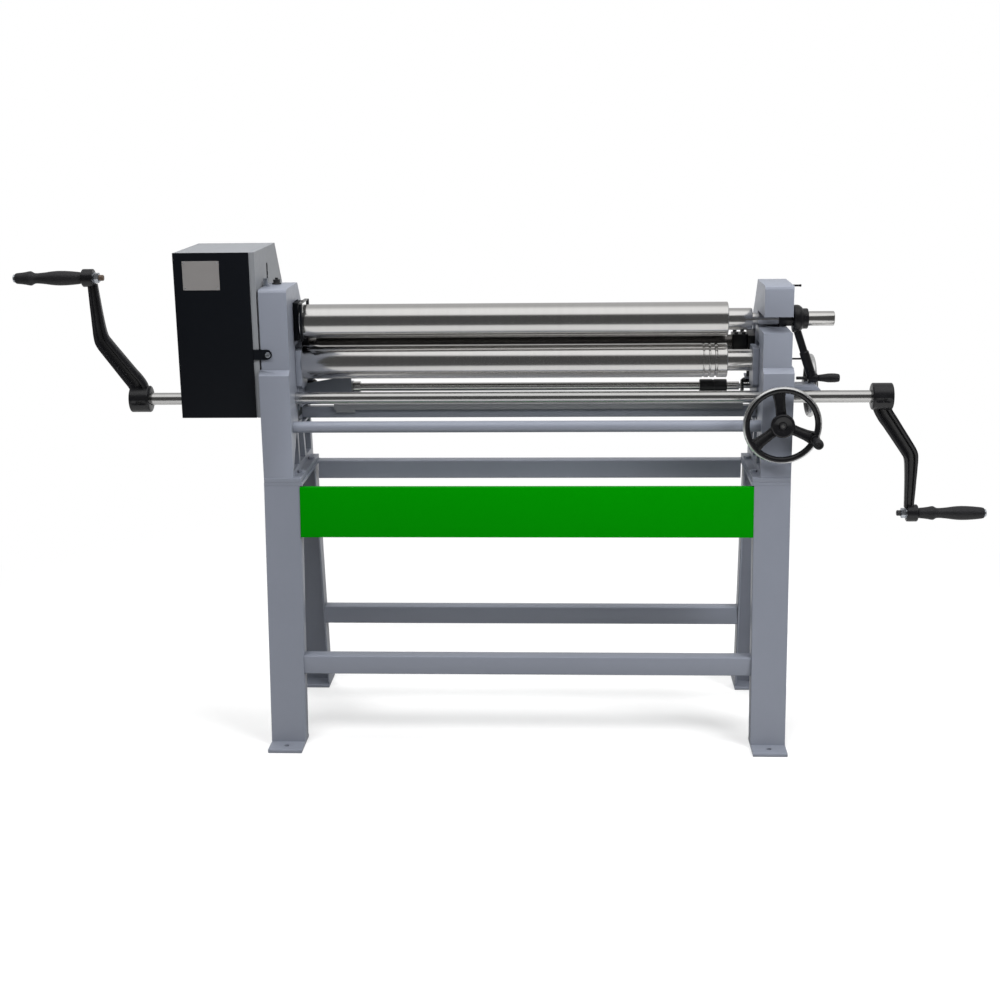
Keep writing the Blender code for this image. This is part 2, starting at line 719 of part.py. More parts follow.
def add_screw_bracket(frame, side):
    """The cast ear that holds up one rear lifting screw."""
    low = REAR_ROD_DISTANCE - REAR_SCREW_BRACKET_TOP - REAR_SCREW_BRACKET_THICKNESS
    inner = side * (REAR_SCREW_BRACKET_INNER_X - REAR_SCREW_X)
    ends = sorted((inner, side * (FRAME_INNER_X + 2 - REAR_SCREW_X)))
    half = REAR_SCREW_BRACKET_HALF_Y
    ear = box(f"{frame.name}_screw_ear", ends, (-half, half), (low, low + REAR_SCREW_BRACKET_THICKNESS))
    hole = rod(f"{frame.name}_screw_ear_hole", (low - 5, low + REAR_SCREW_BRACKET_THICKNESS + 5), (0, 0),
               REAR_SCREW_RADIUS + RUN_GAP, None, COARSE_SEGMENTS, "Z")
    recess = rod(f"{frame.name}_gear_recess", (0, low - 2), (0, 0), MITRE_PITCH_RADIUS + MITRE_ADDENDUM + 1,
                 None, MEDIUM_SEGMENTS, "Z")
    carry(ear, screw_frame(side))
    carry(hole, screw_frame(side))
    carry(recess, screw_frame(side))
    cut(frame, recess)
    join(frame, ear)
    cut(frame, hole)


def cut_rib_windows(frame, side, floor):
    """Three pockets with two ribs between them, open towards the machine's middle."""
    span = mirrored(side, FRAME_INNER_X - 30, FRAME_LOWER_OUTER_X - FRAME_OUTER_WALL)
    low = floor + WINDOW_SILL
    high = up(-WINDOW_TOP_DROP)
    windows = ([(-133, low), (-48, low), (-60, high), (-68, high)],
               [(-30, low), (46, low), (24, high), (-42, high)],
               [(66, low), (140, low), (140, high), (42, high)])
    for number, outline in enumerate(windows, 1):
        cut(frame, prism(f"{frame.name}_window_{number}", "X", span, outline))


def cut_lower_slide(frame, side):
    """The window of the lower bearing block and the channel of its wedge."""
    play = SEAT_GAP
    far = LOWER_BLOCK_OUTER_X + play if side > 0 else FRAME_LOWER_OUTER_X + 5
    block = box(f"{frame.name}_block_window", mirrored(side, FRAME_INNER_X - 5, far),
                (-LOWER_BLOCK_HALF_Y - play, LOWER_BLOCK_HALF_Y + play),
                (up(-WEDGE_BOTTOM_DROP - play), up(-LOWER_ROLL_DROP + LOWER_BLOCK_RISE + LIFT_TRAVEL + 0.5)))
    front = WEDGE_TIP_Y - WEDGE_TRAVEL - 4
    back = WEDGE_BACK_Y + 8
    high = wedge_top(WEDGE_BACK_Y) + WEDGE_HEADROOM
    low = wedge_top(-LOWER_BLOCK_HALF_Y) + WEDGE_HEADROOM
    outline = [(front, up(-WEDGE_BOTTOM_DROP - play)), (back, up(-WEDGE_BOTTOM_DROP - play)), (back, high),
               (WEDGE_BACK_Y - WEDGE_TRAVEL, high), (-LOWER_BLOCK_HALF_Y - WEDGE_TRAVEL, low), (front, low)]
    channel = prism(f"{frame.name}_wedge_channel", "X",
                    mirrored(side, WEDGE_INNER_X - play, WEDGE_OUTER_X + play), outline)
    half = BEAM_SIDE / 2 + 2
    beam_way = box(f"{frame.name}_beam_way", mirrored(side, FRAME_INNER_X - 5, WEDGE_INNER_X),
                   (BEAM_Y - WEDGE_TRAVEL - half - STIFFENER_DEPTH, BEAM_Y + half),
                   (up(-BEAM_DROP) - half, up(-STIFFENER_TOP_DROP) + 2))
    cut(frame, block, channel, beam_way)


def cut_rear_slide(frame, side):
    """The leaning slot of the rear bearing block."""
    play = SEAT_GAP
    slot = tilted_box(f"{frame.name}_rear_slot", side, FRAME_INNER_X - 5, FRAME_LOWER_OUTER_X + 5,
                      (-REAR_BLOCK_HALF - play, REAR_BLOCK_HALF + play),
                      (-REAR_BLOCK_HALF - REAR_DOWN - play, REAR_BLOCK_HALF + REAR_UP + play))
    cut(frame, slot)


def cut_frame_bores(frame, side):
    """Bores for the drive shaft, the cross rod and, on the right, the lift screw."""
    through = mirrored(side, FRAME_INNER_X - 5, FRAME_LOWER_OUTER_X + 5)
    shaft = rod(f"{frame.name}_shaft_bore", through, (DRIVE_SHAFT_Y, up(-DRIVE_SHAFT_DROP)),
                SHAFT_RADIUS + RUN_GAP)
    depth = mirrored(side, FRAME_INNER_X - 5, CROSS_ROD_LEFT_X + 1 if side < 0 else FRAME_LOWER_OUTER_X + 5)
    cross = rod(f"{frame.name}_cross_bore", depth, rod_axis(), CROSS_ROD_END_RADIUS + RUN_GAP, None, 16)
    cut(frame, shaft, cross)
    if side > 0:
        screw = rod(f"{frame.name}_lift_bore", (FRAME_LOWER_FRONT_Y - 5, WEDGE_TIP_Y), lift_screw_axis(),
                    LIFT_SCREW_RADIUS + RUN_GAP, None, COARSE_SEGMENTS, "Y")
        outer = frame_x(FRAME_UPPER_OUTER_X)
        pin = rod(f"{frame.name}_stop_bore", (outer - 12, outer + 5), stop_pin_axis(),
                  STOP_PIN_RADIUS + RUN_GAP, None, COARSE_SEGMENTS)
        cut(frame, screw, pin)


def cut_pivot_window(frame):
    """The window in which the upper roll's left bearing swings, with the holes of its two pins."""
    window = box(f"{frame.name}_pivot_window", mirrored(-1, FRAME_INNER_X - 5, FRAME_LOWER_OUTER_X + 5),
                 (-PIVOT_WINDOW_HALF_Y, PIVOT_WINDOW_HALF_Y),
                 (up(-PIVOT_BLOCK_BOTTOM - PIVOT_WINDOW_PLAY), up(PIVOT_BLOCK_TOP + PIVOT_WINDOW_PLAY)))
    bore = rod(f"{frame.name}_pivot_bore", (up(PIVOT_BLOCK_TOP), up(FRAME_TOP_RISE + 5)),
               (frame_x(PIVOT_X), 0), PIVOT_PIN_RADIUS + RUN_GAP, None, COARSE_SEGMENTS, "Z")
    low = up(-PIVOT_BLOCK_BOTTOM)
    pin = rod(f"{frame.name}_lower_pin", (low - PIVOT_WINDOW_PLAY - 6, low + PIVOT_PIN_DEPTH),
              (frame_x(PIVOT_X), 0), PIVOT_PIN_RADIUS, None, COARSE_SEGMENTS, "Z")
    washer = rod(f"{frame.name}_thrust_washer", (low - PIVOT_WINDOW_PLAY - 3, low - SEAT_GAP),
                 (frame_x(PIVOT_X), 0), PIVOT_PIN_RADIUS * 2, None, COARSE_SEGMENTS, "Z")
    lock = rod(f"{frame.name}_lock_bore", (up(FRAME_TOP_RISE - 16), up(FRAME_TOP_RISE + 5)),
               (frame_x(LOCK_SCREW_X), LOCK_SCREW_Y), LOCK_SCREW_RADIUS + RUN_GAP, None, COARSE_SEGMENTS, "Z")
    cut(frame, window, bore, lock)
    join(frame, pin, washer)


def cut_journal_slot(frame):
    """The slot through which the upper roll's right end swings out to the front."""
    slot = box(f"{frame.name}_journal_slot", mirrored(1, FRAME_INNER_X - 5, FRAME_LOWER_OUTER_X + 5),
               (FRAME_FRONT_Y - 5, JOURNAL_SLOT_HALF + 1), (up(-JOURNAL_SLOT_HALF), up(JOURNAL_SLOT_HALF)))
    cut(frame, slot)


def build_tie_tube():
    """The round tube that ties the two side frames together at the front."""
    half = FRAME_INNER_X - SEAT_GAP
    tube("tie_tube", (frame_x(-half), frame_x(half)), (TIE_TUBE_Y, up(-TIE_TUBE_DROP)),
         TIE_TUBE_RADIUS, TIE_TUBE_BORE, "grey_paint")


# Lower roll, its bearings and its lift

def roll_profile(left, right, ends_left, ends_right, grooves=False):
    """Stations and radii of a roll between two machine X values, with its stepped ends."""
    profile = list(ends_left)
    profile += [(left, ROLL_RADIUS - ROLL_CHAMFER), (left + ROLL_CHAMFER, ROLL_RADIUS)]
    if grooves:
        for inset, width in zip(WIRE_GROOVE_INSETS, WIRE_GROOVE_WIDTHS):
            start = right - inset
            profile += [(start, ROLL_RADIUS), (start + width / 2, ROLL_RADIUS - width / 2),
                        (start + width, ROLL_RADIUS)]
    profile += [(right - ROLL_CHAMFER, ROLL_RADIUS), (right, ROLL_RADIUS - ROLL_CHAMFER)]
    return profile + list(ends_right)


def build_lower_roll():
    """The lower pinch roll, with wire grooves near its right end and a gear seat on its left."""
    left = frame_x(-ROLL_LEFT_X + 1.5)
    right = frame_x(ROLL_RIGHT_X)
    gear_end = frame_x(PAIR_X[0] - 4)
    journal = LOWER_JOURNAL_RADIUS
    ends_left = [(gear_end, 0), (gear_end, journal), (left, journal)]
    block_start = frame_x(FRAME_INNER_X - LOWER_FLANGE_THICKNESS) - SEAT_GAP
    journal_end = frame_x(LOWER_BLOCK_OUTER_X)
    ends_right = [(right, NECK_RADIUS), (block_start, NECK_RADIUS), (block_start, journal),
                  (journal_end, journal), (journal_end, 0)]
    z = up(-LOWER_ROLL_DROP)
    roll = turned("lower_roll", roll_profile(left, right, ends_left, ends_right, True), (0, z),
                  "bright_steel", FINE_SEGMENTS)
    origin_at(roll, left, 0, z)


def build_lower_blocks():
    """The two bearing blocks that slide up and down in the side frames."""
    axis_z = up(-LOWER_ROLL_DROP)
    half = LOWER_BLOCK_HALF_Y
    for side_name, side in SIDES:
        name = f"{side_name}_lower_bearing_block"
        outline = [(-half, wedge_top(-half) + SEAT_GAP), (half, wedge_top(half) + SEAT_GAP),
                   (half, axis_z + LOWER_BLOCK_RISE), (-half, axis_z + LOWER_BLOCK_RISE)]
        inner = FRAME_INNER_X - SEAT_GAP
        block = prism(name, "X", mirrored(side, inner - 4, LOWER_BLOCK_OUTER_X), outline, "grey_paint")
        flange_half = LOWER_FLANGE_HALF_Y
        corner = 10.0
        low = axis_z - LOWER_FLANGE_BOTTOM
        plate = [(-flange_half + corner, low), (flange_half - corner, low), (flange_half, low + corner),
                 (flange_half, axis_z + LOWER_FLANGE_TOP), (-flange_half, axis_z + LOWER_FLANGE_TOP),
                 (-flange_half, low + corner)]
        flange_span = mirrored(side, inner - LOWER_FLANGE_THICKNESS + SEAT_GAP, inner)
        flange = prism(f"{name}_flange", "X", flange_span, plate)
        bore = rod(f"{name}_bore", mirrored(side, FRAME_INNER_X - 30, LOWER_BLOCK_OUTER_X + 5), (0, axis_z),
                   LOWER_JOURNAL_RADIUS + RUN_GAP)
        join(block, flange)
        cut(block, bore)


def lift_screw_axis():
    """X and Z of the screw that pulls the wedges."""
    return (frame_x(LIFT_SCREW_X), up(-LIFT_SCREW_DROP))


def build_wedges():
    """The two lifting wedges, the beam between them and its stiffener."""
    low = up(-WEDGE_BOTTOM_DROP)
    outline = [(WEDGE_TIP_Y, low), (WEDGE_BACK_Y, low), (WEDGE_BACK_Y, wedge_top(WEDGE_BACK_Y)),
               (-LOWER_BLOCK_HALF_Y, wedge_top(-LOWER_BLOCK_HALF_Y)),
               (WEDGE_TIP_Y, wedge_top(-LOWER_BLOCK_HALF_Y))]
    for side_name, side in SIDES:
        wedge = prism(f"{side_name}_lift_wedge", "X", mirrored(side, WEDGE_INNER_X, WEDGE_OUTER_X), outline,
                      "dark_steel")
        if side > 0:
            bore = rod("lift_wedge_bore", (WEDGE_TIP_Y - 5, LIFT_SCREW_BACK_Y + WEDGE_TRAVEL + 4),
                       lift_screw_axis(), LIFT_SCREW_RADIUS + RUN_GAP, None, COARSE_SEGMENTS, "Y")
            cut(wedge, bore)
    half = BEAM_SIDE / 2
    reach = WEDGE_INNER_X - SEAT_GAP
    ys = (BEAM_Y - half, BEAM_Y + half)
    zs = (up(-BEAM_DROP) - half, up(-BEAM_DROP) + half)
    beam = box("lift_beam", (frame_x(-reach), frame_x(reach)), ys, zs, "grey_paint")
    inside = box("lift_beam_inside", (frame_x(-reach - 5), frame_x(reach + 5)),
                 (ys[0] + BEAM_WALL, ys[1] - BEAM_WALL), (zs[0] + BEAM_WALL, zs[1] - BEAM_WALL))
    cut(beam, inside)
    front = (ys[0] - SEAT_GAP - STIFFENER_DEPTH, ys[0] - SEAT_GAP)
    top = up(-STIFFENER_TOP_DROP)
    left = frame_x(STIFFENER_LEFT_X)
    bar = box("beam_stiffener", (left, frame_x(STIFFENER_RIGHT_X)), front, (top - STIFFENER_HEIGHT, top),
              "light_grey_paint")
    lug = box("beam_stiffener_lug", (left + 6, left + STIFFENER_LUG_LENGTH), front,
              (up(-STIFFENER_LUG_DROP), top - 2))
    join(bar, lug)


def wheel_point(angle, radius):
    """A point on a wheel's face, as offsets along the first and second axis."""
    turn = math.radians(angle)
    return (radius * math.cos(turn), radius * math.sin(turn))


def rim_profile(centre, radius, thickness, sides=8):
    """The round section of a wheel's rim as a closed profile."""
    points = []
    for step in range(sides):
        turn = math.tau * step / sides
        points.append((centre + thickness * math.cos(turn), radius + thickness * math.sin(turn)))
    return points


def spoked_wheel(name, axis, station, centre, radius, rim, hub_radius, hub_span, bore, angles, finish):
    """A handwheel: a round rim, a hub with a bore and flat spokes between them."""
    section = rim_profile(station, radius - rim, rim)
    wheel = turned(name, section, centre, finish, FINE_SEGMENTS, axis, ring=True)
    hub = rod(f"{name}_hub", hub_span, centre, hub_radius, None, MEDIUM_SEGMENTS, axis)
    for number, angle in enumerate(angles, 1):
        near = wheel_point(angle, hub_radius * 0.5)
        far = wheel_point(angle, radius - rim)
        side = wheel_point(angle + 90, 0.5)
        near_width = WHEEL_SPOKE_WIDTH * 0.8
        far_width = WHEEL_SPOKE_WIDTH
        outline = []
        for point, width in ((near, -near_width), (far, -far_width), (far, far_width), (near, near_width)):
            outline.append((centre[0] + point[0] + width * side[0], centre[1] + point[1] + width * side[1]))
        half_thick = WHEEL_SPOKE_THICKNESS / 2
        spoke = prism(f"{name}_spoke_{number}", axis, (station - half_thick, station + half_thick), outline)
        join(wheel, spoke)
    join(wheel, hub)
    hole = rod(f"{name}_bore", (hub_span[0] - 5, hub_span[1] + 5), centre, bore, None, 24, axis)
    cut(wheel, hole)
    return wheel


def build_lift_handwheel():
    """The front handwheel, its turning grip, and the screw that pulls the wedges."""
    centre = lift_screw_axis()
    hub_back = FRAME_LOWER_FRONT_Y - SEAT_GAP
    hub = (WHEEL_Y - WHEEL_HUB_LENGTH / 2, hub_back)
    wheel = spoked_wheel("lift_handwheel", "Y", WHEEL_Y, centre, WHEEL_RADIUS, WHEEL_RIM_RADIUS,
                         WHEEL_HUB_RADIUS, hub, LIFT_SCREW_RADIUS + SEAT_GAP, WHEEL_SPOKE_ANGLES,
                         "black_paint")
    offset = wheel_point(WHEEL_GRIP_ANGLE, WHEEL_GRIP_RADIUS)
    grip_centre = (centre[0] + offset[0], centre[1] + offset[1])
    grip_back = WHEEL_Y - WHEEL_RIM_RADIUS - SEAT_GAP
    grip_front = grip_back - WHEEL_GRIP_LENGTH
    pin = rod("lift_handwheel_pin", (grip_front + 4, WHEEL_Y), grip_centre, WHEEL_PIN_RADIUS, None,
              COARSE_SEGMENTS, "Y")
    join(wheel, pin)
    origin_at(wheel, centre[0], WHEEL_Y, centre[1])
    bore = WHEEL_PIN_RADIUS + RUN_GAP
    fat = WHEEL_GRIP_FAT
    profile = [(grip_back, bore), (grip_back, fat * 0.6), (grip_back - 12, fat * 0.75), (grip_back - 40, fat),
               (grip_front + 10, fat * 0.9), (grip_front, fat * 0.6), (grip_front, bore)]
    grip = turned("lift_handwheel_grip", profile, grip_centre, "black_plastic", COARSE_SEGMENTS, "Y",
                  ring=True)
    origin_at(grip, grip_centre[0], grip_back, grip_centre[1])
    front = hub[0] + 2
    screw = rod("lift_screw", (front, LIFT_SCREW_BACK_Y), centre, LIFT_SCREW_RADIUS, "bright_steel",
                COARSE_SEGMENTS, "Y")
    origin_at(screw, centre[0], front, centre[1])


# Upper roll, its pivot and its release lever

def build_upper_roll():
    """The upper pinch roll: a tongue for its drive on the left, a long stub on the right."""
    left = frame_x(-ROLL_LEFT_X)
    right = frame_x(ROLL_RIGHT_X)
    journal = PIVOT_JOURNAL_RADIUS
    left_end = frame_x(-PIVOT_BLOCK_OUTER_X)
    ends_left = [(left_end, 0), (left_end, journal), (left, journal)]
    slim = RIGHT_JOURNAL_RADIUS
    stub_left = frame_x(STUB_LEFT_X)
    stub_right = frame_x(STUB_RIGHT_X)
    neck = frame_x(NECK_END_X)
    ends_right = [(right, NECK_RADIUS), (neck - 2, NECK_RADIUS), (neck, NECK_RADIUS - 2), (neck, slim),
                  (stub_left, slim), (stub_left, STUB_RADIUS), (stub_right - 3, STUB_RADIUS),
                  (stub_right, STUB_RADIUS - 3), (stub_right, 0)]
    roll = turned("upper_roll", roll_profile(left, right, ends_left, ends_right), (0, up(0)),
                  "bright_steel", FINE_SEGMENTS)
    tongue = box("upper_roll_tongue", (left_end - COUPLING_TONGUE_LENGTH, left_end + 5), (-13, 13),
                 (up(-COUPLING_TONGUE_THICKNESS / 2), up(COUPLING_TONGUE_THICKNESS / 2)))
    join(roll, tongue)
    origin_at(roll, left, 0, up(0))


def build_pivot():
    """The swivelling left bearing of the upper roll, its two pins and the lock screw."""
    xs = mirrored(-1, PIVOT_BLOCK_INNER_X, PIVOT_BLOCK_OUTER_X)
    half = PIVOT_BLOCK_HALF_Y
    zs = (up(-PIVOT_BLOCK_BOTTOM), up(PIVOT_BLOCK_TOP))
    block = box("pivot_block", xs, (-half, half), zs, "black_paint")
    bore = rod("pivot_block_bore", (xs[0] - 5, xs[1] + 5), (0, up(0)), PIVOT_JOURNAL_RADIUS + RUN_GAP)
    pivot = (frame_x(PIVOT_X), 0)
    hole_radius = PIVOT_PIN_RADIUS + RUN_GAP
    upper_hole = rod("pivot_block_upper_hole", (zs[1] - PIVOT_PIN_DEPTH - 1, zs[1] + 5), pivot, hole_radius,
                     None, 24, "Z")
    lower_hole = rod("pivot_block_lower_hole", (zs[0] - 5, zs[0] + PIVOT_PIN_DEPTH + 1), pivot, hole_radius,
                     None, 24, "Z")
    cut(block, bore, upper_hole, lower_hole)
    origin_at(block, pivot[0], 0, up(0))
    nut_low = up(FRAME_TOP_RISE) + SEAT_GAP
    nut_top = nut_low + PIVOT_NUT_HEIGHT
    pin_low = zs[1] - PIVOT_PIN_DEPTH
    nut_neck = PIVOT_NUT_RADIUS * 0.75
    profile = [(pin_low, 0), (pin_low, PIVOT_PIN_RADIUS), (nut_low, PIVOT_PIN_RADIUS),
               (nut_low, PIVOT_NUT_RADIUS), (nut_low + 3, PIVOT_NUT_RADIUS), (nut_low + 4, nut_neck),
               (nut_top, nut_neck), (nut_top, 4), (nut_top + 5, 4), (nut_top + 5, 0)]
    pin = turned("pivot_upper_pin", profile, pivot, "dark_steel", 16, "Z")
    origin_at(pin, pivot[0], 0, nut_low)
    build_lock_screw()


def build_lock_screw():
    """The clamp screw beside the pivot, with its bent bar handle."""
    centre = (frame_x(LOCK_SCREW_X), LOCK_SCREW_Y)
    low = up(FRAME_TOP_RISE) + SEAT_GAP
    head = low + LOCK_HEAD_RISE
    profile = [(low - 14, 0), (low - 14, LOCK_SCREW_RADIUS), (low, LOCK_SCREW_RADIUS),
               (low, LOCK_WASHER_RADIUS), (low + 2, LOCK_WASHER_RADIUS), (low + 2, LOCK_HEAD_RADIUS),
               (head, LOCK_HEAD_RADIUS), (head, 0)]
    screw = turned("pivot_lock_screw", profile, centre, "dark_steel", COARSE_SEGMENTS, "Z")
    bar_z = head - 4
    bar = bar_between("pivot_lock_screw_bar", (centre[0], centre[1], bar_z),
                      (centre[0] + LOCK_BAR_REACH, centre[1], bar_z), LOCK_BAR_RADIUS, None, 10)
    upright = rod("pivot_lock_screw_upright", (bar_z - LOCK_BAR_RADIUS, bar_z + LOCK_BAR_RISE),
                  (centre[0] + LOCK_BAR_REACH, centre[1]), LOCK_BAR_RADIUS, None, 10, "Z")
    join(screw, bar, upright)
    origin_at(screw, centre[0], centre[1], low)


def stop_pin_axis():
    """Y and Z of the pin on which the release lever rests."""
    return (RELEASE_ARM_RADIUS + STOP_PIN_RADIUS + SEAT_GAP, up(-STOP_PIN_DROP))


def build_release_lever():
    """The lever on the upper roll's right journal, with its cam and grip, and what it rests on."""
    lower_face = FRAME_LOWER_OUTER_X + SEAT_GAP
    bore = RIGHT_JOURNAL_RADIUS + RUN_GAP
    start = frame_x(RELEASE_DISC_START_X)
    disc_end = frame_x(RELEASE_DISC_END_X)
    boss_end = frame_x(RELEASE_BOSS_END_X)
    disc, boss = RELEASE_DISC_RADIUS, RELEASE_BOSS_RADIUS
    profile = [(start, 0), (start, disc), (disc_end - 3, disc), (disc_end, disc - 3), (disc_end, boss),
               (boss_end - 3, boss), (boss_end, boss - 3), (boss_end, 0)]
    lever = turned("release_lever", profile, (0, up(0)), "black_paint")
    cam = rod("release_lever_cam", (start - RELEASE_CAM_LENGTH, start + 3), (-RELEASE_CAM_OFFSET, up(0)),
              RELEASE_CAM_RADIUS)
    arm = bar_between("release_lever_arm", (frame_x(RELEASE_ARM_TOP[0]), 0, up(RELEASE_ARM_TOP[1])),
                      (frame_x(RELEASE_ARM_END[0]), 0, up(RELEASE_ARM_END[1]) + 3), RELEASE_ARM_RADIUS)
    eye = rod("release_lever_eye", (frame_x(RELEASE_ARM_END[0] - 12), frame_x(RELEASE_ARM_END[0] + 12)),
              (0, up(RELEASE_ARM_END[1])), RELEASE_ARM_RADIUS + 1, None, 16)
    grip_start = frame_x(KNOB_START_X)
    grip_end = grip_start + KNOB_LENGTH
    axis = (0, up(RELEASE_ARM_END[1]))
    bar = rod("release_lever_bar", (frame_x(HANDLE_BAR_START_X), grip_end - 6), axis, HANDLE_BAR_RADIUS, None,
              COARSE_SEGMENTS)
    through = rod("release_lever_bore", (start - RELEASE_CAM_LENGTH - 5, boss_end + 5), (0, up(0)), bore)
    join(lever, cam, arm, eye, bar)
    cut(lever, through)
    origin_at(lever, start, 0, up(0))
    inner = HANDLE_BAR_RADIUS + SEAT_GAP
    fat, slim = KNOB_RADIUS, KNOB_RADIUS * 0.75
    profile = [(grip_start, inner), (grip_start, slim), (grip_start + 18, fat), (grip_start + 40, fat * 0.95),
               (grip_end, slim), (grip_end, inner)]
    grip = turned("release_lever_grip", profile, axis, "black_plastic", 16, ring=True)
    origin_at(grip, grip_start, *axis)
    rod("lever_stop_pin", (frame_x(LOWER_BLOCK_OUTER_X + 1), frame_x(STOP_PIN_END_X)), stop_pin_axis(),
        STOP_PIN_RADIUS, "dark_steel", COARSE_SEGMENTS)
    top, low = (up(-drop) for drop in REST_BRACKET_DROP)
    end_x = frame_x(REST_BRACKET_END_X)
    chamfer = REST_BRACKET_CHAMFER
    outline = [(frame_x(lower_face), low), (end_x, low), (end_x, top - chamfer), (end_x - chamfer, top),
               (frame_x(lower_face), top)]
    bracket = prism("lever_rest_bracket", "Y", REST_BRACKET_Y, outline, "grey_paint")
    hollow = box("lever_rest_bracket_hollow", (frame_x(lower_face + 8), end_x - 8),
                 (REST_BRACKET_Y[0] + 8, REST_BRACKET_Y[1] - 8), (low - 5, top - 8))
    cut(bracket, hollow)


# Rear roll and its lift

def build_rear_roll():
    """The rear bending roll, which turns freely in its two blocks."""
    left = frame_x(-ROLL_RIGHT_X - 40)
    right = frame_x(ROLL_RIGHT_X)
    z = up(-REAR_ROLL_DROP)
    flange = REAR_FLANGE_INNER_X - SEAT_GAP
    journal = REAR_JOURNAL_RADIUS
    outer = REAR_BLOCK_OUTER_X
    ends_left = [(frame_x(-outer), 0), (frame_x(-outer), journal), (frame_x(-flange), journal),
                 (frame_x(-flange), NECK_RADIUS - 8), (left, NECK_RADIUS - 8)]
    ends_right = [(right, NECK_RADIUS - 8), (frame_x(flange), NECK_RADIUS - 8), (frame_x(flange), journal),
                  (frame_x(outer), journal), (frame_x(outer), 0)]
    roll = turned("rear_roll", roll_profile(left, right, ends_left, ends_right), (REAR_ROLL_BACK, z),
                  "bright_steel", FINE_SEGMENTS)
    origin_at(roll, left, REAR_ROLL_BACK, z)


def build_rear_blocks():
    """The two leaning bearing blocks of the rear roll, each with a nut tail for its screw."""
    half = REAR_BLOCK_HALF
    for side_name, side in SIDES:
        name = f"{side_name}_rear_bearing_block"
        block = tilted_box(name, side, FRAME_INNER_X - SEAT_GAP - 4, REAR_BLOCK_OUTER_X, (-half, half),
                           (-half, half), "black_paint")
        flange = tilted_box(f"{name}_flange", side, REAR_FLANGE_INNER_X, FRAME_INNER_X - SEAT_GAP,
                            (-half, half), (-half - 3, half))
        tail = tilted_box(f"{name}_tail", side, REAR_FLANGE_INNER_X, FRAME_INNER_X - SEAT_GAP,
                          (-REAR_TAIL_HALF, REAR_TAIL_HALF), (-REAR_TAIL_LENGTH, -half))
        axis = (REAR_ROLL_BACK, up(-REAR_ROLL_DROP))
        bore = rod(f"{name}_bore", mirrored(side, REAR_FLANGE_INNER_X - 5, REAR_BLOCK_OUTER_X + 5), axis,
                   REAR_JOURNAL_RADIUS + RUN_GAP)
        nut = rod(f"{name}_nut", (-REAR_TAIL_LENGTH - 5, -REAR_JOURNAL_RADIUS - 1.5), (0, 0),
                  REAR_SCREW_RADIUS + RUN_GAP, None, COARSE_SEGMENTS, "Z")
        carry(nut, tilt_frame(side, REAR_SCREW_X))
        join(block, flange, tail)
        cut(block, bore, nut)


def bevel_rows(teeth, phase, scale):
    """One ring of a mitre gear's teeth as (distance from the apex, X, Y) points."""
    diagonal = math.sqrt(0.5)
    pitch = math.tau / teeth
    points = []
    for tooth in range(teeth):
        for offset, height in ((-0.30, -MITRE_DEDENDUM), (-0.13, MITRE_ADDENDUM),
                               (0.13, MITRE_ADDENDUM), (0.30, -MITRE_DEDENDUM)):
            angle = phase + pitch * (tooth + offset)
            radius = (MITRE_PITCH_RADIUS + height * diagonal) * scale
            along = (MITRE_PITCH_RADIUS - height * diagonal) * scale
            points.append((along, radius * math.cos(angle), radius * math.sin(angle)))
    return points


def mitre_gear(name, phase, back, finish=None):
    """A mitre gear whose pitch cone's apex is at its own origin and whose axis is +Z."""
    cone = MITRE_PITCH_RADIUS * math.sqrt(2)
    small = (cone - MITRE_FACE) / cone

    def fill(shape):
        outer = [shape.verts.new(Vector((x, y, z)) * MM) for z, x, y in bevel_rows(MITRE_TEETH, phase, 1)]
        inner = [shape.verts.new(Vector((x, y, z)) * MM) for z, x, y in bevel_rows(MITRE_TEETH, phase, small)]
        count = len(outer)
        outer_tip = shape.verts.new(Vector((0, 0, back)) * MM)
        lowest = (MITRE_PITCH_RADIUS - MITRE_ADDENDUM) * small
        inner_tip = shape.verts.new(Vector((0, 0, lowest)) * MM)
        for index in range(count):
            following = (index + 1) % count
            shape.faces.new((outer[index], outer[following], inner[following], inner[index]))
            shape.faces.new((outer[following], outer[index], outer_tip))
            shape.faces.new((inner[index], inner[following], inner_tip))
    return add_object(name, fill, finish)


def rod_frame(side):
    """The frame of the mitre gear on the cross rod: its Z points from the apex towards the middle."""
    y, z = rod_axis()
    apex = Vector((frame_x(side * REAR_SCREW_X), y, z)) * MM
    towards_middle = Matrix.Rotation(math.radians(-90 * side), 4, "Y")
    lean = Matrix.Rotation(math.radians(REAR_TILT), 4, "X")
    return Matrix.Translation(apex) @ lean @ towards_middle


def screw_frame(side):
    """The frame of a rear screw: its Z points up the screw from the cross rod's axis."""
    y, z = rod_axis()
    apex = Vector((frame_x(side * REAR_SCREW_X), y, z)) * MM
    return Matrix.Translation(apex) @ Matrix.Rotation(math.radians(REAR_TILT), 4, "X")


def build_rear_screws():
    """The two lifting screws with their mitre gears."""
    back = MITRE_PITCH_RADIUS + MITRE_DEDENDUM * math.sqrt(0.5) + 0.5
    tip = REAR_ROD_DISTANCE - REAR_JOURNAL_RADIUS - REAR_SCREW_TOP_ROOM - REAR_DOWN
    half_pitch = math.pi / MITRE_TEETH
    for side_name, side in SIDES:
        turn = half_pitch if side > 0 else math.pi + half_pitch
        name = f"{side_name}_rear_lift_screw"
        screw = mitre_gear(name, math.pi + turn, back, "dark_steel")
        shank = rod(f"{name}_shank", (MITRE_PITCH_RADIUS - 4, tip), (0, 0), REAR_SCREW_RADIUS, None,
                    COARSE_SEGMENTS, "Z")
        carry(screw, screw_frame(side))
        carry(shank, screw_frame(side))
        join(screw, shank)


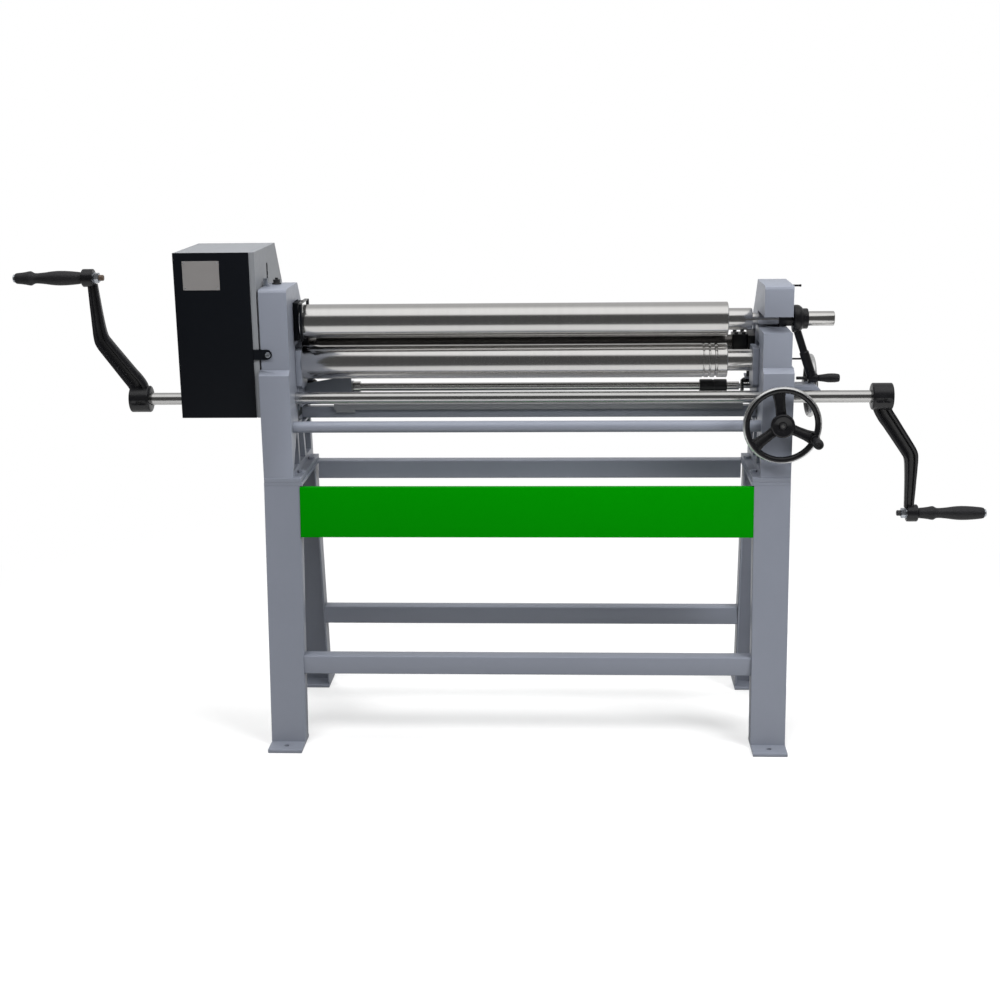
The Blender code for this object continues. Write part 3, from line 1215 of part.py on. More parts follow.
def build_cross_rod():
    """The two halves of the cross rod, their sliding sleeve, collar and support arm."""
    axis = rod_axis()
    thick = CROSS_ROD_RADIUS
    slim = CROSS_ROD_END_RADIUS
    joint = frame_x(CROSS_ROD_JOINT_X)
    gap = CROSS_ROD_JOINT_GAP / 2
    gear_back = MITRE_PITCH_RADIUS + MITRE_DEDENDUM * math.sqrt(0.5) + 0.5
    step = REAR_SCREW_X - gear_back - MITRE_HUB_LENGTH
    left_end = frame_x(-CROSS_ROD_LEFT_X)
    left = turned("cross_rod_left", [(left_end, 0), (left_end, slim), (frame_x(-step), slim),
                                     (frame_x(-step), thick), (joint - gap, thick), (joint - gap, 0)],
                  axis, "bright_steel")
    right_end = frame_x(REAR_WHEEL_X + REAR_WHEEL_HUB_LENGTH / 2 - 4)
    right = turned("cross_rod_right", [(joint + gap, 0), (joint + gap, thick), (frame_x(step), thick),
                                       (frame_x(step), slim), (right_end, slim), (right_end, 0)],
                   axis, "bright_steel")
    for side_name, side, half in (("left", -1, left), ("right", 1, right)):
        gear = mitre_gear(f"cross_rod_{side_name}_gear", math.pi if side > 0 else 0, gear_back)
        carry(gear, rod_frame(side))
        join(half, gear)
    origin_at(left, left_end, *axis)
    origin_at(right, joint, *axis)
    ends = (joint - SLEEVE_LENGTH / 2, joint + SLEEVE_LENGTH / 2)
    relief = SLEEVE_RELIEF
    bore = thick + RUN_GAP
    wide, low = SLEEVE_RADIUS, SLEEVE_RADIUS - relief
    profile = [(ends[0], bore), (ends[0], low), (ends[0] + relief, wide), (joint - 2, wide), (joint - 2, low),
               (joint + 2, low), (joint + 2, wide), (ends[1] - relief, wide), (ends[1], low), (ends[1], bore)]
    sleeve = turned("coupling_sleeve", profile, axis, "dark_steel", ring=True)
    origin_at(sleeve, joint, *axis)
    collar_left = frame_x(-ROD_ARM_END_X) + SEAT_GAP
    collar = rod("cross_rod_collar", (collar_left, collar_left + COLLAR_LENGTH), axis, COLLAR_RADIUS)
    join(left, collar)
    build_rod_arm(axis, bore)


def build_rod_arm(axis, bore):
    """The tapered arm on the left frame that steadies the cross rod."""
    root = frame_x(-FRAME_INNER_X + SEAT_GAP)
    end = frame_x(-ROD_ARM_END_X)
    outline = [(root, up(-ROD_ARM_ROOT_DROP[1])), (end, up(-ROD_ARM_END_DROP[1])),
               (end, up(-ROD_ARM_END_DROP[0])), (root, up(-ROD_ARM_ROOT_DROP[0]))]
    arm = prism("cross_rod_arm", "Y", (ROD_ARM_Y, ROD_ARM_Y + ROD_ARM_THICKNESS), outline, "grey_paint")
    eye = box("cross_rod_arm_eye", (end - ROD_EYE_LENGTH, end), (ROD_ARM_Y + 2, axis[0] + ROD_EYE_BACK),
              (axis[1] - ROD_EYE_BACK, axis[1] + ROD_EYE_BACK))
    hole = rod("cross_rod_arm_hole", (end - ROD_EYE_LENGTH - 5, end + 5), axis, bore)
    join(arm, eye)
    cut(arm, hole)


def build_rear_handwheel():
    """The handwheel outside the right frame that lifts the rear roll."""
    axis = rod_axis()
    middle = frame_x(REAR_WHEEL_X)
    half = REAR_WHEEL_HUB_LENGTH / 2
    wheel = spoked_wheel("rear_handwheel", "X", middle, axis, REAR_WHEEL_RADIUS, REAR_WHEEL_RIM_RADIUS,
                         REAR_WHEEL_HUB_RADIUS, (middle - half, middle + half),
                         CROSS_ROD_END_RADIUS + SEAT_GAP, REAR_WHEEL_SPOKE_ANGLES, "black_paint")
    origin_at(wheel, middle, *axis)


# Drive shaft, cranks and gears

def build_drive_shaft():
    """The long shaft that carries a crank on each end."""
    end = SHAFT_HALF_LENGTH
    shaft = rod("drive_shaft", (-end, end), shaft_axis(), SHAFT_RADIUS, "bright_steel")
    origin_at(shaft, 0, *shaft_axis())


def shaft_axis():
    """Y and Z of the drive shaft."""
    return (DRIVE_SHAFT_Y, up(-DRIVE_SHAFT_DROP))


def crank_outline(direction):
    """Side view of a crank arm in X and height above the hub, for the crank on the right."""
    hub_x = CRANK_HUB_END_X - CRANK_HUB_LENGTH / 2
    root = CRANK_ROOT_WIDTH / 2
    end_x = CRANK_END_X - CRANK_END_WIDTH / 2 - CRANK_TOP_INSET
    top = CRANK_TOP_WIDTH / 2
    knee_outer = end_x + top - 4
    knee_inner = knee_outer - CRANK_KNEE_WIDTH
    knee = CRANK_KNEE_HEIGHT
    points = [(hub_x - root + 5, 0), (hub_x + root - 5, 0), (hub_x + root + 3, CRANK_ROOT_HEIGHT),
              (knee_outer, knee), (end_x + top, CRANK_THROW), (end_x - top, CRANK_THROW),
              (knee_inner, knee + CRANK_KNEE_DROP), (hub_x - root + 3, CRANK_ROOT_HEIGHT)]
    return [(direction * x, z) for x, z in points]


def build_crank(side_name, side):
    """A cast crank with its hub, arm, end boss, grip pin and nut, turned about the shaft."""
    name = f"{side_name}_crank"
    half = CRANK_ARM_THICKNESS / 2
    arm = prism(name, "Y", (-half, half), crank_outline(side), "black_paint")
    hub_start = CRANK_HUB_END_X - CRANK_HUB_LENGTH
    boss_start = CRANK_END_X - CRANK_END_WIDTH
    end = (0, CRANK_THROW)
    hub = rod(f"{name}_hub", mirrored_about_shaft(side, hub_start, CRANK_HUB_END_X), (0, 0), CRANK_HUB_RADIUS)
    boss = rod(f"{name}_boss", mirrored_about_shaft(side, boss_start, CRANK_END_X), end, CRANK_END_RADIUS,
               None, 16)
    nut = rod(f"{name}_nut", mirrored_about_shaft(side, boss_start - CRANK_NUT_LENGTH, CRANK_END_X - 5), end,
              CRANK_NUT_RADIUS, None, 6)
    pin = rod(f"{name}_pin", mirrored_about_shaft(side, CRANK_END_X - 5, CRANK_END_X + CRANK_GRIP_LENGTH - 3),
              end, CRANK_PIN_RADIUS, None, COARSE_SEGMENTS)
    bore = rod(f"{name}_bore", mirrored_about_shaft(side, hub_start - 5, CRANK_HUB_END_X + 5), (0, 0),
               SHAFT_RADIUS + SEAT_GAP)
    grip = build_crank_grip(side_name, side)
    turn = Matrix.Rotation(math.radians(CRANK_TILT + (0 if side < 0 else 180)), 4, "X")
    frame = Matrix.Translation(Vector((0, *shaft_axis())) * MM) @ turn
    for shape in (arm, hub, boss, nut, pin, bore):
        carry(shape, frame)
    join(arm, hub, boss, nut, pin)
    cut(arm, bore)
    grip.matrix_basis = frame @ grip.matrix_basis


def mirrored_about_shaft(side, near, far):
    """The X span of a piece on the left or right end of the shaft."""
    return (near, far) if side > 0 else (-far, -near)


def build_crank_grip(side_name, side):
    """The turning grip on a crank's pin. The left one is fitted the other way round."""
    fat = CRANK_GRIP_RADIUS
    length = CRANK_GRIP_LENGTH
    bore = CRANK_PIN_RADIUS + RUN_GAP
    outline = [(0, bore), (0, fat * 0.8), (0.11, fat * 0.8), (0.18, fat * 0.97), (0.27, fat * 0.72),
               (0.45, fat * 0.84), (0.64, fat), (0.86, fat * 0.92), (1, fat * 0.77), (1, bore)]
    if side < 0:
        outline = [(1 - share, radius) for share, radius in reversed(outline)]
    start = CRANK_END_X + SEAT_GAP
    profile = [(side * (start + share * (length - SEAT_GAP)), radius) for share, radius in outline]
    grip = turned(f"{side_name}_crank_grip", profile, (0, CRANK_THROW), "black_plastic", 16, ring=True)
    return origin_at(grip, side * start, 0, CRANK_THROW)


def mesh_phase(phase, teeth, next_teeth, heading):
    """Angle of a tooth of the next gear, so that it meshes along a heading."""
    return heading + math.pi - (phase - heading) * teeth / next_teeth + math.pi / next_teeth


def gear_outline(centre, teeth, root, tip, phase, root_share, tip_share):
    """A gear's outline: four points to a tooth, angles counted from +Y towards +Z."""
    pitch = math.tau / teeth
    points = []
    for tooth in range(teeth):
        for offset, radius in ((-root_share, root), (-tip_share, tip), (tip_share, tip), (root_share, root)):
            angle = phase + pitch * (tooth + offset)
            points.append((centre[0] + radius * math.cos(angle), centre[1] + radius * math.sin(angle)))
    return points


def make_gear(name, span, centre, outline, bore, finish):
    """A gear with a plain bore."""
    ends = (frame_x(span[0]), frame_x(span[1]))
    gear = prism(name, "X", ends, outline, finish)
    hole = rod(f"{name}_bore", (ends[0] - 5, ends[1] + 5), centre, bore)
    cut(gear, hole)
    return origin_at(gear, ends[0], *centre)


def pitch_radius(teeth):
    """Pitch radius of a gear of the train."""
    return GEAR_MODULE * teeth / 2


def train_outline(centre, teeth, phase):
    """Outline of one gear of the train."""
    root = pitch_radius(teeth) - GEAR_MODULE * 1.25
    tip = pitch_radius(teeth) + GEAR_MODULE * 0.9
    return gear_outline(centre, teeth, root, tip, phase, 0.32, 0.13)


def idler_centre():
    """Where the idler meshes with both the pinion and the upper gear, on the operator's side."""
    start = Vector(shaft_axis())
    end = Vector((0, up(0)))
    near = pitch_radius(PINION_TEETH) + pitch_radius(IDLER_TEETH)
    far = pitch_radius(IDLER_TEETH) + pitch_radius(UPPER_TEETH)
    line = end - start
    along = (near ** 2 - far ** 2 + line.length ** 2) / (2 * line.length)
    aside = math.sqrt(near ** 2 - along ** 2)
    unit = line.normalized()
    spot = start + unit * along + Vector((-unit.y, unit.x)) * aside
    return (spot.x, spot.y)


def heading_between(one, other):
    """Angle of the line from one centre to another."""
    return math.atan2(other[1] - one[1], other[0] - one[0])


def build_gears():
    """The pinion, idler and upper gear of the train, and the long-toothed pair of the pinch rolls."""
    shaft = shaft_axis()
    idler = idler_centre()
    upper = (0, up(0))
    lower = (0, up(-LOWER_ROLL_DROP))
    idler_phase = mesh_phase(0, PINION_TEETH, IDLER_TEETH, heading_between(shaft, idler))
    upper_phase = mesh_phase(idler_phase, IDLER_TEETH, UPPER_TEETH, heading_between(idler, upper))
    make_gear("drive_pinion", TRAIN_X, shaft, train_outline(shaft, PINION_TEETH, 0), SHAFT_RADIUS + SEAT_GAP,
              "cast_iron")
    make_gear("idler_gear", TRAIN_X, idler, train_outline(idler, IDLER_TEETH, idler_phase),
              IDLER_STUD_RADIUS + RUN_GAP, "cast_iron")
    make_gear("upper_train_gear", TRAIN_X, upper, train_outline(upper, UPPER_TEETH, upper_phase),
              GEAR_SHAFT_RADIUS + SEAT_GAP, "cast_iron")
    heading = heading_between(upper, lower)
    lower_phase = mesh_phase(heading, PAIR_TEETH, PAIR_TEETH, heading)
    for name, centre, phase, bore in (("upper_pair_gear", upper, heading, GEAR_SHAFT_RADIUS),
                                      ("lower_pair_gear", lower, lower_phase, LOWER_JOURNAL_RADIUS)):
        outline = gear_outline(centre, PAIR_TEETH, PAIR_ROOT_RADIUS, PAIR_TIP_RADIUS, phase, 0.27, 0.09)
        make_gear(name, PAIR_X, centre, outline, bore + SEAT_GAP, "cast_iron")
    build_gear_shaft(upper)
    stud_start = frame_x(SUPPORT_PLATE_X[0] - 2)
    stud_step = frame_x(TRAIN_X[1]) + RUN_GAP
    stud = IDLER_STUD_RADIUS
    turned("idler_stud", [(stud_start, 0), (stud_start, stud), (stud_step, stud), (stud_step, stud + 4),
                          (stud_step + 4, stud + 4), (stud_step + 4, 0)], idler, "bright_steel")


def build_gear_shaft(axis):
    """The short shaft that turns the upper roll through a slotted cup and the roll's tongue."""
    cup_end = frame_x(-PIVOT_BLOCK_OUTER_X) - COUPLING_PLAY
    cup_start = cup_end - COUPLING_CUP_LENGTH
    outer_end = frame_x(SUPPORT_PLATE_X[0] - 3)
    shaft = turned("upper_gear_shaft", [(outer_end, 0), (outer_end, GEAR_SHAFT_RADIUS),
                                        (cup_start, GEAR_SHAFT_RADIUS), (cup_start, COUPLING_CUP_RADIUS),
                                        (cup_end, COUPLING_CUP_RADIUS), (cup_end, 0)], axis, "bright_steel")
    play = COUPLING_SLOT_HALF
    slot = box("upper_gear_shaft_slot", (cup_end + COUPLING_PLAY - COUPLING_TONGUE_LENGTH - 2, cup_end + 5),
               (-COUPLING_CUP_RADIUS - 5, COUPLING_CUP_RADIUS + 5), (axis[1] - play, axis[1] + play))
    cut(shaft, slot)
    origin_at(shaft, cup_start, *axis)


# Gear casing

def cover_outline(inset=0.0):
    """Side view of the gear cover, pulled in by a wall thickness."""
    front = COVER_FRONT_Y + inset
    back = COVER_BACK_Y - inset
    low = up(-COVER_BOTTOM_DROP) + inset
    top = up(COVER_TOP_RISE) - inset
    return [(front, low), (back, low), (back, up(COVER_SHOULDER_RISE) - inset * 0.4),
            (COVER_TOP_BACK_Y - inset * 0.6, top), (front, top)]


def build_casing():
    """The gear cover, its black front, the plate behind the gears and the plate beyond them."""
    left = frame_x(COVER_LEFT_X)
    right = frame_x(BACK_PLATE_X[0]) - SEAT_GAP
    cover = prism("gear_cover", "X", (left, right), cover_outline(), "light_grey_paint")
    inside = prism("gear_cover_inside", "X", (left + COVER_WALL, right + 5), cover_outline(COVER_WALL))
    hole = rod("gear_cover_shaft_hole", (left - 5, left + 10), shaft_axis(), COVER_SHAFT_HOLE)
    cut(cover, inside, hole)
    front = COVER_FRONT_Y - SEAT_GAP
    box("gear_cover_front", (left - 1, frame_x(COVER_RIGHT_X)), (front - COVER_FRONT_THICKNESS, front),
        (up(-COVER_BOTTOM_DROP), up(COVER_TOP_RISE)), "black_paint")
    build_back_plate()
    build_support_plate()
    build_cover_lug()


def shaft_hole(prefix, span):
    """The clearance hole of the drive shaft in a plate of the casing."""
    ends = (frame_x(span[0]) - 5, frame_x(span[1]) + 10)
    return rod(f"{prefix}_shaft_hole", ends, shaft_axis(), SHAFT_RADIUS + RUN_GAP)


def build_back_plate():
    """The plate between the side frame and the gears, which the cover closes on."""
    span = (frame_x(BACK_PLATE_X[0]), frame_x(BACK_PLATE_X[1]))
    plate = prism("gear_back_plate", "X", span, cover_outline(), "dark_steel")
    boss = box("gear_back_plate_boss", (span[1] - 2, frame_x(BACK_PLATE_BOSS_X)), BACK_PLATE_BOSS_Y,
               (up(BACK_PLATE_BOSS_Z[0]), up(BACK_PLATE_BOSS_Z[1])))
    reach = BACK_PLATE_STEP_REACH
    lower_boss_cut = box("gear_back_plate_step", (frame_x(-FRAME_LOWER_OUTER_X - SEAT_GAP), span[1] + 20),
                         (-reach, reach), (up(BACK_PLATE_BOSS_Z[0]) - 5, up(-LEDGE_TOP_DROP + 3)))
    through = (span[0] - 5, span[1] + 10)
    cup = rod("gear_back_plate_cup_hole", through, (0, up(0)), COUPLING_CUP_RADIUS + RUN_GAP)
    journal = LOWER_JOURNAL_RADIUS + 1
    lower = up(-LOWER_ROLL_DROP)
    slot = box("gear_back_plate_slot", through, (-journal, journal),
               (lower - journal, lower + journal + LIFT_TRAVEL))
    join(plate, boss)
    cut(plate, lower_boss_cut, cup, slot, shaft_hole("gear_back_plate", BACK_PLATE_X))


def build_support_plate():
    """The plate that carries the outer ends of the gear shafts, with its three pillars."""
    span = (frame_x(SUPPORT_PLATE_X[0]), frame_x(SUPPORT_PLATE_X[1]))
    plate = box("gear_support_plate", span, SUPPORT_PLATE_Y,
                (up(SUPPORT_PLATE_Z[0]), up(SUPPORT_PLATE_Z[1])), "dark_steel")
    upper = rod("gear_support_plate_upper_hole", (span[0] - 5, span[1] + 5), (0, up(0)),
                GEAR_SHAFT_RADIUS + RUN_GAP)
    idler = rod("gear_support_plate_idler_hole", (span[0] - 5, span[1] + 5), idler_centre(),
                IDLER_STUD_RADIUS + SEAT_GAP)
    cut(plate, upper, idler, shaft_hole("gear_support_plate", SUPPORT_PLATE_X))
    start = span[1] - 2
    end = frame_x(BACK_PLATE_X[0]) - SEAT_GAP
    for number, (y, rise) in enumerate(SPACER_PLACES, 1):
        join(plate, rod(f"gear_support_pillar_{number}", (start, end), (y, up(rise)), SPACER_RADIUS, None,
                        COARSE_SEGMENTS))


def build_cover_lug():
    """The rounded strap, with its screw, that holds the cover to the frame's front."""
    face = FRAME_FRONT_Y - SEAT_GAP
    low, high = up(-LUG_DROP[1]), up(-LUG_DROP[0])
    radius = (high - low) / 2
    centre_x = frame_x(LUG_X[1]) - radius
    outline = [(frame_x(LUG_X[0]), low), (centre_x, low)]
    for step in range(1, 6):
        angle = -math.pi / 2 + math.pi * step / 6
        outline.append((centre_x + radius * math.cos(angle), (low + high) / 2 + radius * math.sin(angle)))
    outline += [(centre_x, high), (frame_x(LUG_X[0]), high)]
    lug = prism("cover_lug", "Y", (face - LUG_THICKNESS, face), outline, "black_paint")
    outer = face - LUG_THICKNESS
    centre = (frame_x(LUG_SCREW_X), (low + high) / 2)
    head = rod("cover_lug_screw", (outer - 5, face - 1), centre, LUG_SCREW_RADIUS, None, COARSE_SEGMENTS, "Y")
    socket = rod("cover_lug_socket", (outer - 10, outer - 2), centre, LUG_SCREW_RADIUS * 0.5, None, 6, "Y")
    join(lug, head)
    cut(lug, socket)


def build():
    """Make the whole machine."""
    clear_scene()
    build_legs()
    build_top_plates()
    build_rails()
    build_front_panel()
    for side_name, side in SIDES:
        build_frame(side_name, side)
    build_tie_tube()
    build_lower_roll()
    build_lower_blocks()
    build_wedges()
    build_lift_handwheel()
    build_upper_roll()
    build_pivot()
    build_release_lever()
    build_rear_roll()
    build_rear_blocks()
    build_rear_screws()
    build_cross_rod()
    build_rear_handwheel()
    build_drive_shaft()
    for side_name, side in SIDES:
        build_crank(side_name, side)
    build_gears()
    build_casing()


build()
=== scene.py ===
"""Looks of a hand-cranked slip roll: paint, castings, ground steel, a pale studio and its camera."""
import math

import bpy
from bpy.props import FloatProperty, FloatVectorProperty, IntProperty, PointerProperty
from mathutils import Matrix, Vector


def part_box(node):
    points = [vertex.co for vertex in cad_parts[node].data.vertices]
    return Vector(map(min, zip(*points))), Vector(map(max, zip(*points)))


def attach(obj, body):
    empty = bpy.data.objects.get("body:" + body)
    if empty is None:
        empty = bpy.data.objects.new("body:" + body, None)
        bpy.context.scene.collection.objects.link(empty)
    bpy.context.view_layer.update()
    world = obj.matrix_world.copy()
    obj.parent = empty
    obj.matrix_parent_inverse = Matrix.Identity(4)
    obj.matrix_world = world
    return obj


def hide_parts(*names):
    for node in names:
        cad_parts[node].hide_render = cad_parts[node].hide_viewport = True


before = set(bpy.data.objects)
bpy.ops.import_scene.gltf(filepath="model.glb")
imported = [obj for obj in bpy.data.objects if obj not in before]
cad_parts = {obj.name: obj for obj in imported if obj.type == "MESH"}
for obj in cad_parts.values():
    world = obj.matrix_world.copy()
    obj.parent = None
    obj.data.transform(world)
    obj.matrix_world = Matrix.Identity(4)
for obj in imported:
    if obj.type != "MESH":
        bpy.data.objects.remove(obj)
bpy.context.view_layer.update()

bl_info = {
    "name": "Slip roll dressing",
    "version": (1, 0, 0),
    "blender": (4, 5, 0),
    "location": "3D View > Sidebar > Slip roll",
    "description": "Models the visible pieces of a hand-cranked slip roll and lights it in a pale studio",
    "category": "Object",
}

MM = 0.001
PREFIX = "look_"        # starts the name of every new piece
WELD = 1e-6             # metres within which two points of a new piece are one
CAD_WELD = 1e-5         # the same for a copy of a CAD node
FLAT_ANGLE = 0.5        # degrees between CAD triangles that are one face
SHARP_ANGLE = 30        # degrees from which an edge is rounded
RELIEF_DEPTH = 0.0004   # metres that a full bump stands proud
AXIS_TURNS = {"X": (0, math.pi / 2, 0), "Y": (-math.pi / 2, 0, 0), "Z": (0, 0, 0)}


def middle_of(node):
    """Middle of a CAD node's box, in mm."""
    return [(low + high) / 2 / MM for low, high in zip(*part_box(node))]


ROLL_Z = middle_of("upper_roll")[2]
LOWER_Z = middle_of("lower_roll")[2]
REAR_Y, REAR_Z = middle_of("rear_roll")[1:]
SHAFT_Y, SHAFT_Z = middle_of("drive_shaft")[1:]
CRANK_TILT = math.radians(8.0)   # how far the cranks lean back at rest
CRANK_THROW = 329       # mm from the shaft to a crank's pin
HUB_MIDDLE = 973        # mm from the machine's middle to a crank hub's
LEVER_DROP = 157        # mm from the upper roll down to the release lever's grip

# Finishes: a material slot of the record and a material of this file
GREY = ("grey_paint", "Frame paint")
LIGHT = ("light_grey_paint", "Cover paint")
GREEN = ("green_paint", "Panel paint")
SHEET = ("black_paint", "Black sheet paint")
CAST = ("black_paint", "Black casting")
GRIP = ("black_plastic", "Grip plastic")
DARK = ("dark_steel", "Blackened steel")
IRON = ("dark_steel", "Machined iron")
RUSTY = ("dark_steel", "Rusty stud")
COATED = ("dark_steel", "Black casting")
PLATED = ("dark_steel", "Zinc plate")
ZINC = ("bright_steel", "Zinc plate")
BAR = ("bright_steel", "Drawn bar steel")
GROUND = ("bright_steel", "Ground roll steel")
# The rear roll's finish: the roll steel painted darker, a painted shade for the shadow it lies in between the other
# rolls.
SHADED_ROLL_STEEL = ("bright_steel", "Roll steel with painted shade")
PLATE = ("bright_steel", "Blank plate")


# Sizes and colours that a user would change

def length_setting(name, description, default):
    """A length in metres."""
    return FloatProperty(name=name, description=description, default=default, unit="LENGTH")


def colour_setting(name, description, default):
    """A colour of a finish."""
    return FloatVectorProperty(name=name, description=description, default=default, subtype="COLOR")


class SlipRollSizes(bpy.types.PropertyGroup):
    """Sizes of the visible pieces, in metres."""

    roll_sides: IntProperty(name="Roll sides", description="Flat sides round a roll", default=128, min=24)
    edge_round: length_setting("Casting edge round", "Radius of a side frame's outer edges", 0.004)
    sheet_round: length_setting("Sheet edge round", "Radius of a folded sheet's edges", 0.0015)
    tube_round: length_setting("Tube edge round", "Radius of a rail's long edges", 0.004)
    grip_radius: length_setting("Grip radius", "Largest radius of a crank's grip", 0.0189)
    rim_radius: length_setting("Rim radius", "Radius of the front handwheel's rim section", 0.0090)


class SlipRollColours(bpy.types.PropertyGroup):
    """Colours of the paints and metals."""

    frame_paint: colour_setting("Frame paint", "Grey paint of the castings and the stand", (0.182, 0.197, 0.236))
    cover_paint: colour_setting("Cover paint", "Light grey paint of the gear cover", (0.190, 0.198, 0.212))
    panel_paint: colour_setting("Panel paint", "Green paint of the front panel", (0.0, 0.195, 0.0))
    black_paint: colour_setting("Black paint", "Black paint of the cover's front", (0.0038, 0.0046, 0.0064))
    casting_black: colour_setting("Black casting", "Black coating of cranks and wheels", (0.0052, 0.0052, 0.0062))
    ground_steel: colour_setting("Ground steel", "Ground steel of the rolls", (0.72, 0.71, 0.695))
    bar_steel: colour_setting("Bar steel", "Drawn steel of the shafts", (0.62, 0.615, 0.605))
    dark_steel: colour_setting("Dark steel", "Blackened steel of screws and plates", (0.045, 0.045, 0.047))
    zinc: colour_setting("Zinc", "Plated nuts and screws", (0.55, 0.58, 0.62))
    floor: colour_setting("Floor", "Studio floor", (0.50, 0.50, 0.50))


# Shader nodes; wherever these take a value, it may be a number, a vector or a socket

def feed(tree, socket, value):
    """Give a socket a plain value, or link it to another socket."""
    if isinstance(value, bpy.types.NodeSocket):
        tree.links.new(value, socket)
    else:
        socket.default_value = value


def math_node(tree, operation, first, second, clamp=False):
    """Add a Math node."""
    node = tree.nodes.new("ShaderNodeMath")
    node.operation = operation
    node.use_clamp = clamp
    feed(tree, node.inputs[0], first)
    feed(tree, node.inputs[1], second)
    return node.outputs[0]


def added(tree, *values):
    """Sum of two or more values."""
    total = values[0]
    for value in values[1:]:
        total = math_node(tree, "ADD", total, value)
    return total


def times(tree, first, second):
    """Product of two values."""
    return math_node(tree, "MULTIPLY", first, second)


def swing(tree, value, amount):
    """A value from 0 to 1 turned into one that swings about zero, amount wide."""
    return times(tree, math_node(tree, "SUBTRACT", value, 0.5), amount)


def vector_node(tree, operation, *values):
    """Add a Vector Math node and return its outputs."""
    node = tree.nodes.new("ShaderNodeVectorMath")
    node.operation = operation
    for socket, value in zip(node.inputs, values):
        feed(tree, socket, value)
    return node.outputs


def noise_node(tree, vector, scale, detail=3.0, roughness=0.55):
    """Add a Noise Texture read at a vector."""
    node = tree.nodes.new("ShaderNodeTexNoise")
    for label, value in (("Vector", vector), ("Scale", scale), ("Detail", detail), ("Roughness", roughness)):
        feed(tree, node.inputs[label], value)
    return node.outputs["Fac"]


def ramp(tree, value, low, high, start=0.0, end=1.0, kind="SMOOTHSTEP"):
    """A value that runs from start to end between two limits."""
    node = tree.nodes.new("ShaderNodeMapRange")
    node.interpolation_type = kind
    limits = (("Value", value), ("From Min", low), ("From Max", high), ("To Min", start), ("To Max", end))
    for label, number in limits:
        feed(tree, node.inputs[label], number)
    return node.outputs[0]


def shade_colour(tree, colour, amount):
    """Multiply a colour by a grey value that changes over the surface."""
    mix = tree.nodes.new("ShaderNodeVectorMath")
    mix.operation = "SCALE"
    feed(tree, mix.inputs[0], colour)
    feed(tree, mix.inputs["Scale"], amount)
    return mix.outputs[0]


def object_coords(tree):
    """Object coordinates, in metres."""
    return tree.nodes.new("ShaderNodeTexCoord").outputs["Object"]


def split_axis(tree, vector, axis):
    """One coordinate of a vector."""
    split = tree.nodes.new("ShaderNodeSeparateXYZ")
    tree.links.new(vector, split.inputs[0])
    return split.outputs[axis]


# Skins: each returns the grey that multiplies the colour, what is added to the shine, and the height

def paint_skin(tree, given, coords):
    """Sprayed paint: a fine orange peel, faint mottling and small specks."""
    peel = noise_node(tree, coords, given["Peel scale"], 2.0)
    cloud = noise_node(tree, coords, 7.0, 5.0, 0.6)
    dirt = noise_node(tree, coords, 60.0, 6.0, 0.7)
    grey = added(tree, swing(tree, cloud, given["Mottle"]), swing(tree, dirt, 0.05), 1.0)
    return grey, swing(tree, dirt, 0.18), peel


def cast_skin(tree, given, coords):
    """Coated casting: sand texture with small lumps and duller patches."""
    sand = noise_node(tree, coords, given["Sand scale"], 4.0, 0.6)
    lump = noise_node(tree, coords, 45.0, 3.0)
    worn = noise_node(tree, coords, 18.0, 5.0, 0.65)
    grey = added(tree, times(tree, worn, 0.7), 0.65)
    return grey, swing(tree, worn, 0.35), added(tree, times(tree, sand, 0.6), times(tree, lump, 0.8))


def turned_skin(tree, given, coords):
    """Ground bar or roll along X: fine rings, wide faint bands and stains."""
    squeeze = tree.nodes.new("ShaderNodeMapping")
    squeeze.inputs["Scale"].default_value = (1.0, 0.02, 0.02)
    tree.links.new(coords, squeeze.inputs["Vector"])
    ring = noise_node(tree, squeeze.outputs[0], given["Ring scale"], 3.0, 0.7)
    band = noise_node(tree, squeeze.outputs[0], 55.0, 4.0, 0.7)
    stain = noise_node(tree, coords, 9.0, 6.0, 0.65)
    grey = added(tree, swing(tree, band, given["Band"]), swing(tree, stain, 0.08), 1.0)
    return grey, added(tree, swing(tree, ring, 0.10), swing(tree, stain, 0.05)), ring


SKINS = {
    "Paint skin": (paint_skin, {"Peel scale": 420.0, "Mottle": 0.08, "Shine": 0.42}),
    "Cast skin": (cast_skin, {"Sand scale": 260.0, "Shine": 0.4}),
    "Turned steel": (turned_skin, {"Ring scale": 900.0, "Band": 0.12, "Shine": 0.22}),
}


def skin_group(name):
    """Return a skin's node group, built the first time it is asked for."""
    if name in bpy.data.node_groups:
        return bpy.data.node_groups[name]
    skin, settings = SKINS[name]
    group = bpy.data.node_groups.new(name, "ShaderNodeTree")
    new_socket = group.interface.new_socket
    new_socket("Colour", in_out="INPUT", socket_type="NodeSocketColor")
    for label, value in settings.items():
        new_socket(label, in_out="INPUT", socket_type="NodeSocketFloat").default_value = value
    for label, kind in (("Colour", "Color"), ("Roughness", "Float"), ("Height", "Float")):
        new_socket(label, in_out="OUTPUT", socket_type="NodeSocket" + kind)
    given = group.nodes.new("NodeGroupInput").outputs
    leave = group.nodes.new("NodeGroupOutput").inputs
    grey, rough, height = skin(group, given, object_coords(group))
    group.links.new(shade_colour(group, given["Colour"], grey), leave["Colour"])
    group.links.new(math_node(group, "ADD", rough, given["Shine"], clamp=True), leave["Roughness"])
    group.links.new(height, leave["Height"])
    return group


